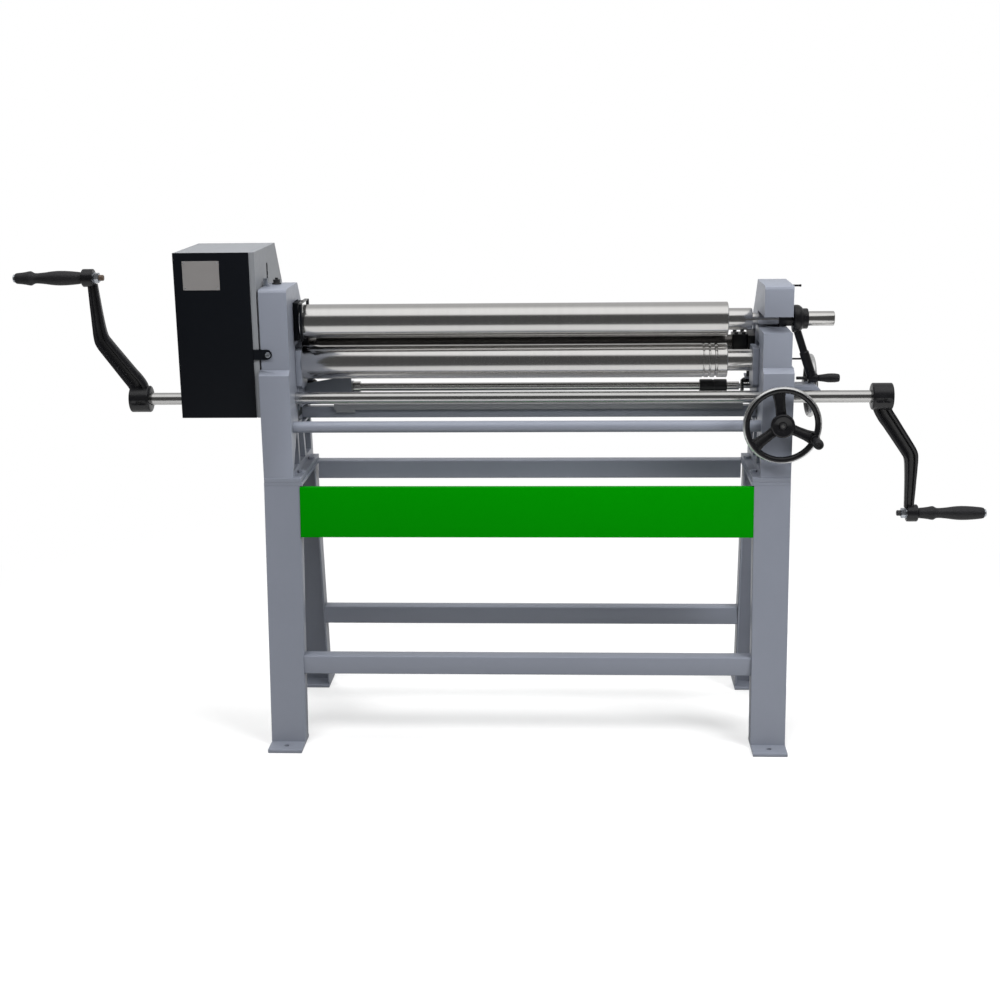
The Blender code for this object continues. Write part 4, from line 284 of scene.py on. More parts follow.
def dressed_material(name, skin_name, colour, metallic, bump, specular, values):
    """A Principled material fed by one of the skins, with its own bump strength."""
    made = bpy.data.materials.new(name)
    made.use_nodes = True
    tree = made.node_tree
    shader = tree.nodes["Principled BSDF"].inputs
    skin = tree.nodes.new("ShaderNodeGroup")
    skin.node_tree = skin_group(skin_name)
    for label, value in {"Colour": (*colour, 1.0), **values}.items():
        skin.inputs[label].default_value = value
    relief = tree.nodes.new("ShaderNodeBump")
    relief.inputs["Strength"].default_value = bump
    relief.inputs["Distance"].default_value = RELIEF_DEPTH
    tree.links.new(skin.outputs["Height"], relief.inputs["Height"])
    tree.links.new(relief.outputs["Normal"], shader["Normal"])
    tree.links.new(skin.outputs["Colour"], shader["Base Color"])
    tree.links.new(skin.outputs["Roughness"], shader["Roughness"])
    shader["Metallic"].default_value = metallic
    shader["Specular IOR Level"].default_value = specular
    return made


def finish(name):
    """Return one of the machine's finishes, made the first time it is asked for."""
    if name in bpy.data.materials:
        return bpy.data.materials[name]
    colours = bpy.context.scene.slip_roll_colours
    paint, cast, turned = SKINS
    recipes = {   # skin, colour, metallic, bump, specular level, the skin's own settings
        "Frame paint": (paint, colours.frame_paint, 0.0, 0.12, 0.48, {"Shine": 0.34}),
        "Cover paint": (paint, colours.cover_paint, 0.0, 0.15, 0.40, {"Shine": 0.46}),
        "Panel paint": (paint, colours.panel_paint, 0.0, 0.08, 0.03, {"Shine": 0.46, "Mottle": 0.05}),
        "Black sheet paint": (paint, colours.black_paint, 0.0, 0.2, 0.14, {"Shine": 0.48, "Mottle": 0.2}),
        "Blank plate": (paint, (0.40, 0.385, 0.38), 0.6, 0.05, 0.4, {"Shine": 0.40, "Mottle": 0.14}),
        "Black casting": (cast, colours.casting_black, 0.0, 0.35, 0.50, {"Shine": 0.31}),
        "Grip plastic": (cast, (0.010, 0.010, 0.0112), 0.0, 0.18, 0.42, {"Shine": 0.5, "Sand scale": 500.0}),
        "Blackened steel": (cast, colours.dark_steel, 0.6, 0.12, 0.4, {"Shine": 0.42, "Sand scale": 600.0}),
        "Rusty stud": (cast, (0.16, 0.12, 0.095), 0.7, 0.25, 0.4, {"Shine": 0.5, "Sand scale": 700.0}),
        "Zinc plate": (cast, colours.zinc, 1.0, 0.06, 0.5, {"Shine": 0.3, "Sand scale": 700.0}),
        "Ground roll steel": (turned, colours.ground_steel, 1.0, 0.012, 0.5, {"Shine": 0.17, "Band": 0.10}),
        # Same roll steel, darker: painted shade on the rear roll in the gap between the rolls
        "Roll steel with painted shade": (turned, (0.115, 0.11, 0.105), 1.0, 0.012, 0.5, {"Shine": 0.24, "Band": 0.20}),
        "Drawn bar steel": (turned, colours.bar_steel, 1.0, 0.010, 0.5, {"Shine": 0.20, "Band": 0.05}),
        "Machined iron": (turned, (0.28, 0.28, 0.28), 0.9, 0.10, 0.5, {"Shine": 0.42}),
    }
    return dressed_material(name, *recipes[name])


# Modelling helpers

def clear_selection():
    """Leave edit mode and select nothing."""
    if bpy.context.object and bpy.context.object.mode != "OBJECT":
        bpy.ops.object.mode_set(mode="OBJECT")
    bpy.ops.object.select_all(action="DESELECT")


def make_active(piece):
    """Select one piece alone."""
    clear_selection()
    piece.select_set(True)
    bpy.context.view_layer.objects.active = piece


def smooth(piece, angle):
    """Smooth a piece's faces, but not across edges sharper than an angle in degrees."""
    make_active(piece)
    bpy.ops.object.shade_smooth_by_angle(angle=math.radians(angle))
    return piece


def bake_place(piece):
    """Leave the piece's place in its mesh, with its object at the origin."""
    make_active(piece)
    bpy.ops.object.transform_apply(location=True, rotation=True, scale=True)


def spot(axis, along, across):
    """Point in metres at a station along an axis; across holds the two other coordinates in mm."""
    place = list(across)
    place.insert("XYZ".index(axis), along)
    return Vector(place) * MM


def lay_along(piece, axis, station, across):
    """Turn a piece that was built along Z to an axis and put it in its place."""
    piece.rotation_euler = AXIS_TURNS[axis]
    piece.location = spot(axis, station, across)
    bake_place(piece)


def edit_all():
    """Enter edit mode with the whole mesh selected."""
    bpy.ops.object.mode_set(mode="EDIT")
    bpy.ops.mesh.select_all(action="SELECT")


def close_shell():
    """Merge a mesh's doubles, turn its faces outwards and leave edit mode."""
    bpy.ops.mesh.select_all(action="SELECT")
    bpy.ops.mesh.remove_doubles(threshold=WELD)
    bpy.ops.mesh.normals_make_consistent(inside=False)
    bpy.ops.object.mode_set(mode="OBJECT")


def round_piece(name, stations, axis, across, sides=64, hollow=False, angle=32):
    """A round piece built up from a circle by extruding and resizing it from station to station.

    stations are (millimetres along the axis, radius). A hollow piece's stations run back to the
    first one along its bore, so its wall closes on itself.
    """
    clear_selection()
    start, radius = stations[0]
    fill = "NOTHING" if hollow else "NGON"
    bpy.ops.mesh.primitive_circle_add(vertices=sides, radius=radius * MM, fill_type=fill)
    piece = bpy.context.object
    piece.name = PREFIX + name
    edit_all()
    steps = stations[1:] + stations[:1] if hollow else stations[1:]
    place, size = start, radius
    for station, width in steps:
        bpy.ops.mesh.extrude_region_move(TRANSFORM_OT_translate={"value": (0, 0, (station - place) * MM)})
        if width != size:
            ratio = width / size
            bpy.ops.transform.resize(value=(ratio, ratio, 1), center_override=(0, 0, (station - start) * MM))
        place, size = station, width
    close_shell()
    lay_along(piece, axis, start, across)
    return smooth(piece, angle)


def block_piece(name, lows, highs, edge, segments=2):
    """A block between two corners in mm, with its edges rounded."""
    clear_selection()
    bpy.ops.mesh.primitive_cube_add(size=1.0, location=[(low + high) / 2 * MM for low, high in zip(lows, highs)])
    piece = bpy.context.object
    piece.name = PREFIX + name
    piece.scale = [(high - low) * MM for low, high in zip(lows, highs)]
    bake_place(piece)
    bevel = piece.modifiers.new("round", "BEVEL")
    bevel.width = edge * MM
    bevel.segments = segments
    bevel.limit_method = "ANGLE"
    bevel.angle_limit = math.radians(SHARP_ANGLE)
    bpy.ops.object.modifier_apply(modifier=bevel.name)
    return smooth(piece, 40)


def merged_copy(node):
    """A copy of a CAD node with its loose triangles merged into clean faces."""
    piece = bpy.data.objects.new(PREFIX + node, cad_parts[node].data.copy())
    bpy.context.scene.collection.objects.link(piece)
    make_active(piece)
    if piece.data.has_custom_normals:
        bpy.ops.mesh.customdata_custom_splitnormals_clear()
    edit_all()
    bpy.ops.mesh.remove_doubles(threshold=CAD_WELD)
    bpy.ops.mesh.dissolve_limited(angle_limit=math.radians(FLAT_ANGLE))
    bpy.ops.object.mode_set(mode="OBJECT")
    return piece


def edge_facts(mesh):
    """For each edge of a mesh: its length, its middle and the angle between its faces."""
    normals = {}
    for face in mesh.polygons:
        for key in face.edge_keys:
            normals.setdefault(key, []).append(face.normal.copy())
    facts = []
    for edge in mesh.edges:
        one, other = (mesh.vertices[index].co for index in edge.vertices)
        found = normals.get(edge.key, [])
        angle = found[0].angle(found[1], 0.0) if len(found) == 2 else 0.0
        facts.append(((other - one).length, (one + other) / 2, angle))
    return facts


def round_long_edges(piece, width, shortest, segments, lowest):
    """Bevel the sharp edges that are long enough, in mm, and whose middles lie above a height in metres."""
    make_active(piece)
    bpy.ops.object.mode_set(mode="EDIT")
    bpy.ops.mesh.select_mode(type="EDGE")
    bpy.ops.mesh.select_all(action="DESELECT")
    bpy.ops.object.mode_set(mode="OBJECT")
    for edge, (length, middle, angle) in zip(piece.data.edges, edge_facts(piece.data)):
        edge.select = angle > math.radians(SHARP_ANGLE) and length > shortest * MM and middle.z > lowest
    bpy.ops.object.mode_set(mode="EDIT")
    bpy.ops.mesh.bevel(offset=width * MM, segments=segments, affect="EDGES", clamp_overlap=True)
    bpy.ops.object.mode_set(mode="OBJECT")


def joined(name, *pieces):
    """Join several pieces into one."""
    make_active(pieces[0])
    for piece in pieces[1:]:
        piece.select_set(True)
    bpy.ops.object.join()
    pieces[0].name = PREFIX + name
    return pieces[0]


def cut_with(piece, tool):
    """Cut a tool shape out of a piece and remove the tool."""
    make_active(piece)
    change = piece.modifiers.new("cut", "BOOLEAN")
    change.operation = "DIFFERENCE"
    change.solver = "EXACT"
    change.object = tool
    bpy.ops.object.modifier_apply(modifier=change.name)
    bpy.data.objects.remove(tool, do_unlink=True)


def socket_screw(name, stations, socket, across, sides=40, angle=32):
    """A screw along Y with a hexagon socket cut into its head."""
    screw = round_piece(name, stations, "Y", across, sides, angle=angle)
    cut_with(screw, round_piece("socket", socket, "Y", across, 6))
    return screw


def settle(piece, body, coat, *nodes, material=None):
    """Give a piece its finish and its body, and hide the CAD nodes that it stands for."""
    slot, finish_name = coat
    piece.data.materials.clear()
    piece.data.materials.append(material or finish(finish_name))
    if nodes:
        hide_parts(*nodes)
    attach(piece, body)
    return piece


def refined(node, body, coat, width=0.0, shortest=30.0, segments=3, lowest=-1.0):
    """Replace a CAD node by a copy with merged faces and smooth round parts.

    width is the rounding of its sharp edges that are longer than shortest, both in mm.
    """
    piece = merged_copy(node)
    if width:
        round_long_edges(piece, width, shortest, segments, lowest)
    smooth(piece, 35)
    return settle(piece, body, coat, node)


def new_curve(operator, kind, count):
    """Add a curve with the given operator, emptied to one spline of so many points."""
    clear_selection()
    operator(radius=MM)
    curve = bpy.context.object
    curve.data.splines.clear()
    spline = curve.data.splines.new(kind)
    points = spline.bezier_points if kind == "BEZIER" else spline.points
    points.add(count - 1)
    return curve, spline, points


def sweep(name, path, radii, section, tilt=0.0, resolution=10, angle=50):
    """A section carried along a smooth path, its size changing from point to point."""
    outline, loop, corners = new_curve(bpy.ops.curve.primitive_bezier_circle_add, "POLY", len(section))
    for point, (across, through) in zip(corners, section):
        point.co = (across * MM, through * MM, 0, 1)
    loop.use_cyclic_u = True
    guide, line, stops = new_curve(bpy.ops.curve.primitive_bezier_curve_add, "BEZIER", len(path))
    guide.data.dimensions = "3D"
    guide.data.twist_mode = "Z_UP"
    for point, place, size in zip(stops, path, radii):
        point.co = Vector(place) * MM
        point.handle_left_type = point.handle_right_type = "AUTO"
        point.radius = size
        point.tilt = tilt
    line.resolution_u = resolution
    guide.data.bevel_mode = "OBJECT"
    guide.data.bevel_object = outline
    guide.data.use_fill_caps = True
    make_active(guide)
    bpy.ops.object.convert(target="MESH")
    piece = bpy.context.object
    piece.name = name
    bpy.data.objects.remove(outline, do_unlink=True)
    edit_all()
    close_shell()
    return smooth(piece, angle)


def whole_section(quarter):
    """The section of a ribbed bar, from the quarter that the three others repeat."""
    face = [*quarter, *((-across, through) for across, through in reversed(quarter))]
    return face + [(-across, -through) for across, through in face]


def fillet_stations(stations, radius, steps=4):
    """Round the outer corners at both ends of a run of stations by a radius."""
    (first, wide), (last, broad) = stations[0], stations[-1]
    way = 1 if last > first else -1
    opening = []
    closing = []
    for step in range(steps + 1):
        turn = math.pi / 2 * step / steps
        along, inward = way * radius * (1 - math.sin(turn)), radius * (1 - math.cos(turn))
        opening.insert(0, (first + along, wide - inward))
        closing.append((last - along, broad - inward))
    return opening + stations[1:-1] + closing


def mirrored(stations, side):
    """Stations for the right side turned to the left one where side is -1."""
    return [(side * along, radius) for along, radius in stations]


# Operators

class SLIPROLL_OT_stand(bpy.types.Operator):
    """Legs, rails, top plates and the green panel"""

    bl_idname = "sliproll.stand"
    bl_label = "Stand"

    def execute(self, context):
        sizes = context.scene.slip_roll_sizes
        for side in ("left", "right"):
            for end in ("front", "rear"):
                leg = refined(f"{side}_{end}_leg", "stand", GREY, 2.5, 60.0)
                self.lead_in(leg, side, end)
            plate = refined(f"{side}_top_plate", "stand", GREY, 0.6, 60.0, 2)
            self.level_plate(plate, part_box(f"{side}_side_frame")[0][1])
        for rail in ("front_lower_rail", "rear_lower_rail", "rear_upper_rail"):
            refined(rail, "stand", GREY, sizes.tube_round / MM * 0.7, 300.0)
        refined("front_panel", "stand", GREEN, sizes.sheet_round / MM, 100.0)
        return {"FINISHED"}

    def level_plate(self, plate, frame_front):
        """Draw a top plate's front back to the side frame's, but for a little of what stands proud."""
        proud, kept = 0.0006, 0.1
        front = frame_front - proud
        for point in plate.data.vertices:
            if point.co.y < front:
                point.co.y = front + (point.co.y - front) * kept

    def lead_in(self, leg, side, end):
        """Lead a leg's top out to the side frame's faces, so that column and leg run on in one line."""
        foot, skin, rim, proud = 0.1, 0.0035, 0.004, 0.0005
        low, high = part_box(f"{side}_side_frame")
        bottom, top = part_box(f"{side}_{end}_leg")
        frame_outer, leg_outer = (low[0], bottom[0]) if side == "left" else (high[0], top[0])
        front = low[1] - proud
        for point in leg.data.vertices:
            share = max(0.0, (point.co.z - foot) / (top[2] - foot))
            if abs(point.co.x - leg_outer) < skin:
                point.co.x += (frame_outer - leg_outer) * share
            if end == "front" and point.co.z > top[2] - rim and point.co.y < front:
                point.co.y = front


class SLIPROLL_OT_side_frames(bpy.types.Operator):
    """The two side castings, their tie tube and the bearing blocks"""

    bl_idname = "sliproll.side_frames"
    bl_label = "Side frames"

    def execute(self, context):
        edge = context.scene.slip_roll_sizes.edge_round / MM * 0.9
        for side in ("left", "right"):
            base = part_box(f"{side}_side_frame")[0][2] + 0.002
            refined(f"{side}_side_frame", "stand", GREY, edge, 28.0, lowest=base)
            refined(f"{side}_lower_bearing_block", "lower_slide", GREY, 1.2, 20.0)
            refined(f"{side}_rear_bearing_block", "rear_slide", CAST, 1.2, 20.0)
            refined(f"{side}_lift_wedge", "wedges", DARK, 0.8, 40.0)
        refined("tie_tube", "stand", GREY)
        refined("lift_beam", "wedges", GREY, 2.0, 300.0)
        refined("beam_stiffener", "wedges", LIGHT, 1.0, 20.0)
        refined("cross_rod_arm", "stand", GREY, 1.5, 12.0)
        refined("lever_rest_bracket", "stand", GREY, 1.8, 12.0)
        refined("pivot_block", "upper_bearing", SHEET, 2.0, 40.0)
        self.pivot_guides()
        return {"FINISHED"}

    def pivot_guides(self):
        """The two guide bars, the cap and its screw on the left frame round the pivot block."""
        gap, bar_thick, cap_wide, edge = 0.2, 5.6, 8.5, 0.8
        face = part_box("left_side_frame")[1][0] / MM
        low, high = (corner[2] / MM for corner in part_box("pivot_block"))
        top = high + 5
        bars = [block_piece("bar", (face + gap, near, low + 1), (face + bar_thick, far, high), edge)
                for near, far in ((-63, -43), (43, 63))]
        settle(joined("pivot_guide_bars", *bars), "stand", SHEET)
        cap = block_piece("pivot_guide_cap", (face + gap, -66, high + 0.6), (face + cap_wide, 24, top), edge)
        settle(cap, "stand", IRON)
        head = [(top - 1, 3.0), (top + 2.2, 3.0), (top + 3.0, 2.2)]
        screw = round_piece("pivot_guide_screw", head, "Z", (face + 5, -38), 24, angle=40)
        settle(screw, "stand", DARK)


class SLIPROLL_OT_rolls(bpy.types.Operator):
    """The three ground steel rolls"""

    bl_idname = "sliproll.rolls"
    bl_label = "Rolls"

    def execute(self, context):
        sides = context.scene.slip_roll_sizes.roll_sides
        right_end = [(573.9, 45), (575, 44.3), (575.5, 43)]
        journal = [(575.5, 28), (576.2, 28.5)]
        upper = [(-628, 20), (-546.5, 20), (-546.5, 43), (-545.9, 44.3), (-544.8, 45), *right_end, *journal,
                 (636, 28.5), (637.4, 28), (638, 26.8), (638, 16), (783.2, 16), (783.4, 18.2), (784.3, 19),
                 (849, 19), (850.3, 18.4), (851.2, 17)]
        barrel = round_piece("barrel", upper, "X", (0, ROLL_Z), sides)
        tongue = block_piece("tongue", (-645, -13, ROLL_Z - 4), (-627, 13, ROLL_Z + 4), 0.8)
        settle(joined("upper_roll", barrel, tongue), "top_roll", GROUND, "upper_roll")
        lower = [(-691, 18.8), (-689.8, 20), (-544.5, 20), (-544.5, 43), (-543.9, 44.4), (-542.8, 45)]
        for start, width in ((511, 5), (526, 6), (542, 8)):
            lower += self.wire_groove(start, width / 2)
        lower += [*right_end, *journal, (640.2, 28.5), (640.3, 20), (723, 20), (724, 19)]
        piece = round_piece("lower_roll", lower, "X", (0, LOWER_Z), sides)
        settle(piece, "bottom_roll", GROUND, "lower_roll")
        rear = [(-624, 15), (-541.7, 15), (-541.7, 20.5), (-519.5, 20.5), (-519.5, 43), (-518.9, 44.3),
                (-517.8, 45), *right_end, (575.5, 20.5), (637.7, 20.5), (637.7, 15), (720, 15)]
        piece = round_piece("rear_roll", rear, "X", (REAR_Y, REAR_Z), sides)
        # The rear roll wears the darkened steel, painted shade for the gap between the rolls
        settle(piece, "back_roll", SHADED_ROLL_STEEL, "rear_roll")
        return {"FINISHED"}

    def wire_groove(self, start, half, radius=45, steps=8):
        """Stations of a round groove, nearly as deep as half its width."""
        deep = half * 0.92
        turns = [math.pi * step / steps for step in range(1, steps)]
        floor = [(start + half - half * math.cos(turn), radius - deep * math.sin(turn)) for turn in turns]
        return [(start, radius), *floor, (start + half * 2, radius)]


class SLIPROLL_OT_shafts(bpy.types.Operator):
    """The drive shaft, the cross rod and the screws"""

    bl_idname = "sliproll.shafts"
    bl_label = "Shafts"

    def execute(self, context):
        shaft = [(-998, 14.8), (-996.8, 16), (996.8, 16), (998, 14.8)]
        piece = round_piece("drive_shaft", shaft, "X", (SHAFT_Y, SHAFT_Z))
        settle(piece, "drive_line", BAR, "drive_shaft")
        refined("cross_rod_left", "left_rod", BAR)
        refined("cross_rod_right", "right_rod", BAR)
        refined("coupling_sleeve", "sleeve", DARK)
        refined("lever_stop_pin", "stand", DARK)
        refined("left_rear_lift_screw", "left_screw", DARK)
        refined("right_rear_lift_screw", "right_screw", DARK)
        refined("lift_screw", "lift_wheel", BAR)
        refined("pivot_upper_pin", "stand", DARK, 0.6, 4.0, 2)
        screw = refined("pivot_lock_screw", "pivot_lock", PLATED)
        screw.data.materials.append(finish("Blackened steel"))
        bar_height = 0.023
        bar_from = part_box("pivot_lock_screw")[1][2] - bar_height
        for face in screw.data.polygons:
            face.material_index = int(face.center.z > bar_from)
        return {"FINISHED"}


# A quarter of a crank arm's section: a raised border and half of the deep hollow beside it
CRANK_SECTION = ((-17, 8), (-16, 10.5), (-14, 11.5), (-10.5, 11.5), (-8.6, 10.2), (-6.6, 4.2), (-4.4, 2.6))

# The middle line of a crank arm: mm from the machine's middle, mm from the shaft, scale of the section
CRANK_PATH = ((973, 6, 1.36), (975, 28, 1.34), (981, 43, 1.31), (1000, 71, 1.26), (1024, 106.5, 1.22),
              (1046, 139, 1.19), (1053.5, 150.5, 1.18), (1059, 161, 1.14), (1062, 174, 1.05),
              (1063.8, 196, 0.96), (1065.5, 236, 0.86), (1067.5, 312, 0.72))

# The outline of a crank's grip: share of its length, share of its largest radius
GRIP_OUTLINE = ((0, 0.60), (0.008, 0.68), (0.022, 0.73), (0.09, 0.79), (0.15, 0.865), (0.20, 0.955),
                (0.222, 0.985), (0.238, 0.965), (0.262, 0.82), (0.29, 0.72), (0.325, 0.705), (0.36, 0.73),
                (0.44, 0.80), (0.53, 0.92), (0.60, 0.98), (0.66, 1.0), (0.74, 0.985), (0.83, 0.93),
                (0.92, 0.85), (0.965, 0.79), (0.985, 0.73), (0.992, 0.66))


class SLIPROLL_OT_cranks(bpy.types.Operator):
    """The two cast cranks with their nuts, pins and grips"""

    bl_idname = "sliproll.cranks"
    bl_label = "Cranks"

    def execute(self, context):
        fat = context.scene.slip_roll_sizes.grip_radius / MM
        for name, side in (("left", -1), ("right", 1)):
            self.make_arm(f"{name}_crank", side)
            self.make_set_screw(f"{name}_crank", side)
            self.make_pin(f"{name}_crank", side)
            self.make_grip(name, side, fat)
        return {"FINISHED"}

    def turned(self, name, stations, side, sides=24, across=(0, CRANK_THROW), **shape):
        """A round piece along X on a crank that stands straight up."""
        return round_piece(name, mirrored(stations, side), "X", across, sides, **shape)

    def place(self, piece, side, body, coat, *nodes):
        """Turn a crank's piece about the shaft to its place at rest and settle it."""
        angle = CRANK_TILT + (0 if side < 0 else math.pi)
        shaft = Matrix.Translation(Vector((0, SHAFT_Y, SHAFT_Z)) * MM)
        piece.matrix_world = shaft @ Matrix.Rotation(angle, 4, "X")
        bake_place(piece)
        settle(piece, body, coat, *nodes)

    def make_arm(self, crank, side):
        """The casting: arm, hub with its screw hole and boss."""
        path = [(side * x, 0, z) for x, z, wide in CRANK_PATH]
        arm = sweep("arm", path, [wide for x, z, wide in CRANK_PATH], whole_section(CRANK_SECTION), math.pi / 2)
        hub = [(946, 31), (947, 33.6), (949, 35), (997, 35), (999, 33.6), (1000, 31), (1000, 17), (999, 16.4),
               (947, 16.4), (946, 17)]
        hub = self.turned("hub", hub, side, 64, (0, 0), hollow=True)
        boss = self.turned("boss", [(1062, 21), (1063.5, 23), (1089, 23), (1091, 21)], side, 48)
        middle = (side * HUB_MIDDLE, 0)
        cut_with(hub, round_piece("hole", mirrored([(-60, 5.2), (-30, 5.2)], -side), "Y", middle, 24))
        self.place(joined(crank, arm, hub, boss), side, "drive_line", CAST, crank)

    def make_set_screw(self, crank, side):
        """The screw that holds the hub on the shaft."""
        middle = (side * HUB_MIDDLE, 0)
        screw = mirrored([(-32.2, 4.2), (-31.2, 4.9), (-24, 4.9)], -side)
        socket = mirrored([(-35, 2.6), (-28, 2.6)], -side)
        self.place(socket_screw(f"{crank}_set_screw", screw, socket, middle, 24), side, "drive_line", DARK)

    def make_pin(self, crank, side):
        """The pin through the grip, its stud end, its nut and washer."""
        nut = self.turned("nut", [(1047.5, 12.2), (1048.6, 13.6), (1058.4, 13.6), (1059.4, 12.4)], side, 6, angle=20)
        washer = self.turned("washer", [(1059.3, 14.2), (1059.6, 14.8), (1062, 14.8)], side, 32)
        self.place(joined(f"{crank}_nut", nut, washer), side, "drive_line", ZINC)
        stud = self.turned("stud", [(1036.5, 6.2), (1038, 7.6), (1047.6, 7.6)], side)
        pin = self.turned("pin", [(1090, 5.8), (1269, 5.8), (1270, 5.2)], side)
        coat = RUSTY if side < 0 else DARK
        self.place(joined(f"{crank}_pin", stud, pin), side, "drive_line", coat)

    def make_grip(self, name, side, fat):
        """The grip, turned end for end on the left crank, and its end cap."""
        start, length, bore = 1091.3, 177.4, 6.3
        shape = GRIP_OUTLINE
        if side < 0:
            end = shape[-1][0]
            shape = [(end - share, width) for share, width in reversed(shape)]
        stations = [(start + share * length, width * fat) for share, width in shape]
        stations += [(stations[-1][0], bore), (start, bore)]
        grip = self.turned(f"{name}_crank_grip", stations, side, 48, hollow=True, angle=60)
        self.place(grip, side, f"{name}_grip", GRIP, f"{name}_crank_grip")
        cap = [(1267.5, 9.0), (1268.0, 10.2), (1271.4, 10.2), (1272.6, 8.8)]
        self.place(self.turned(f"{name}_grip_cap", cap, side, 40), side, f"{name}_grip", ZINC)


# A quarter of the ribbed section of a handwheel's spoke
SPOKE_SECTION = ((-15, -2.5), (-14, -5), (-12, -6), (-10.5, -5), (-9.5, -2.8), (-8, -2.2))


def wheel_spoke(angle, near, far, station, axis, across, widths):
    """One spoke of a handwheel, from its hub to its rim."""
    turn = math.radians(angle)
    path = []
    for share in (0, 0.33, 0.66, 1.0):
        reach = near + (far - near) * share
        place = (across[0] + reach * math.cos(turn), across[1] + reach * math.sin(turn))
        path.append(spot(axis, station, place) / MM)
    return sweep(f"spoke_{angle}", path, widths, whole_section(SPOKE_SECTION), math.pi / 2, 4)


def wheel_rim(radius, thickness, station, axis, across):
    """The round rim of a handwheel."""
    clear_selection()
    bpy.ops.mesh.primitive_torus_add(major_segments=96, minor_segments=20,
                                     major_radius=(radius - thickness) * MM, minor_radius=thickness * MM)
    piece = bpy.context.object
    piece.name = "rim"
    lay_along(piece, axis, station, across)
    bpy.ops.object.shade_smooth()
    return piece


def polished_rim_material(name, axis, centre, radius, coated):
    """Black coating that is ground bright on the rim's outer edge, by distance from the axle."""
    bright_from, bright_at, bright = 0.0052, 0.0040, (0.78, 0.78, 0.78, 1)
    made = dressed_material(name, "Cast skin", coated, 0.0, 0.15, 0.50, {"Shine": 0.26})
    tree = made.node_tree
    shader = tree.nodes["Principled BSDF"].inputs
    offset = vector_node(tree, "SUBTRACT", object_coords(tree), centre)[0]
    flat = vector_node(tree, "MULTIPLY", offset, (0, 1, 1) if axis == "X" else (1, 0, 1))[0]
    reach = vector_node(tree, "LENGTH", flat)["Value"]
    edge = ramp(tree, reach, radius - bright_from, radius - bright_at, kind="LINEAR")
    blend = tree.nodes.new("ShaderNodeMix")
    blend.data_type = "RGBA"
    source = shader["Base Color"].links[0].from_socket
    for label, value in (("Factor", edge), ("A", source), ("B", bright)):
        feed(tree, blend.inputs[label], value)
    tree.links.new(blend.outputs["Result"], shader["Base Color"])
    tree.links.new(edge, shader["Metallic"])
    return made


POLISHED = {"lift_handwheel": "Polished rim casting", "rear_handwheel": "Polished rear rim"}


class SLIPROLL_OT_handwheels(bpy.types.Operator):
    """The front handwheel with its grip and the rear roll's handwheel"""

    bl_idname = "sliproll.handwheels"
    bl_label = "Handwheels"

    def execute(self, context):
        self.front_wheel(context.scene.slip_roll_sizes.rim_radius / MM)
        self.rear_wheel()
        return {"FINISHED"}

    def make_wheel(self, node, body, axis, station, across, radius, rim, spokes, hub, others=()):
        """A wheel of a rim, spokes, a hub and what else is cast to it, ground bright on its edge.

        spokes holds their angles, where they start and end, and the scale of their section on the way.
        """
        angles, near, far, widths = spokes
        parts = [wheel_rim(radius, rim, station, axis, across)]
        for angle in angles:
            parts.append(wheel_spoke(angle, near, far, station, axis, across, widths))
        wheel = joined(node, *parts, hub, *others)
        centre = spot(axis, station, across)
        coated = bpy.context.scene.slip_roll_colours.casting_black
        material = polished_rim_material(POLISHED[node], axis, centre, radius * MM, coated)
        settle(wheel, body, CAST, node, material=material)

    def front_wheel(self, rim):
        """The front wheel, its screw, its pin and its grip."""
        across, centre = middle_of("lift_screw")[::2], middle_of("lift_handwheel_grip")[::2]
        station, radius = -178, 100
        hub = [(-146, 20), (-147, 21), (-165, 22), (-176, 29), (-186, 31), (-192, 30.4), (-194, 28.6), (-194.6, 26),
               (-194.2, 22), (-192, 19), (-191.6, 10.5), (-190, 9.2), (-147, 9.2), (-146, 10)]
        hub = round_piece("hub", hub, "Y", across, hollow=True, angle=50)
        boss = round_piece("boss", fillet_stations([(-187, 13), (-170, 13)], 2.5), "Y", centre, 40)
        spokes = ((98, 218, 337), 20, 88, (0.92, 0.86, 0.94, 1.2))
        self.make_wheel("lift_handwheel", "lift_wheel", "Y", station, across, radius, rim, spokes, hub, [boss])
        pin = round_piece("lift_handwheel_pin", [(-187, 5), (-248.4, 5), (-249.4, 4.2)], "Y", centre, 24)
        settle(pin, "lift_wheel", DARK)
        cap = [(-187.0, 8.2), (-188, 8.8), (-189.4, 8.8), (-192, 8.6), (-193.4, 7.8)]
        settle(socket_screw("lift_wheel_screw", cap, [(-196, 3.6), (-190.5, 3.6)], across), "lift_wheel", DARK)
        grip = [(-187.6, 8.0), (-189, 8.6), (-196, 9.0), (-204, 9.6), (-214, 11.2), (-226, 12.8), (-236, 13.0),
                (-245, 12.2), (-250, 10.6), (-252.4, 8.6), (-253.0, 7.0), (-252.6, 5.5), (-187.6, 5.5)]
        grip = round_piece("lift_handwheel_grip", grip, "Y", centre, 40, hollow=True, angle=60)
        settle(grip, "lift_wheel_grip", GRIP, "lift_handwheel_grip")

    def rear_wheel(self):
        """The wheel on the cross rod."""
        station, across = middle_of("rear_handwheel")[0], middle_of("coupling_sleeve")[1:]
        radius, rim = 86, 8
        hub = [(-19.5, 20.5), (-18, 22), (18, 22), (19.5, 20.5), (19.5, 8.4), (-19.5, 8.4)]
        hub = round_piece("hub", [(station + offset, wide) for offset, wide in hub], "X", across, 48, hollow=True)
        spokes = ((92, 212, 332), 14, 74, (0.86, 0.80, 0.88, 1.05))
        self.make_wheel("rear_handwheel", "right_rod", "X", station, across, radius, rim, spokes, hub)


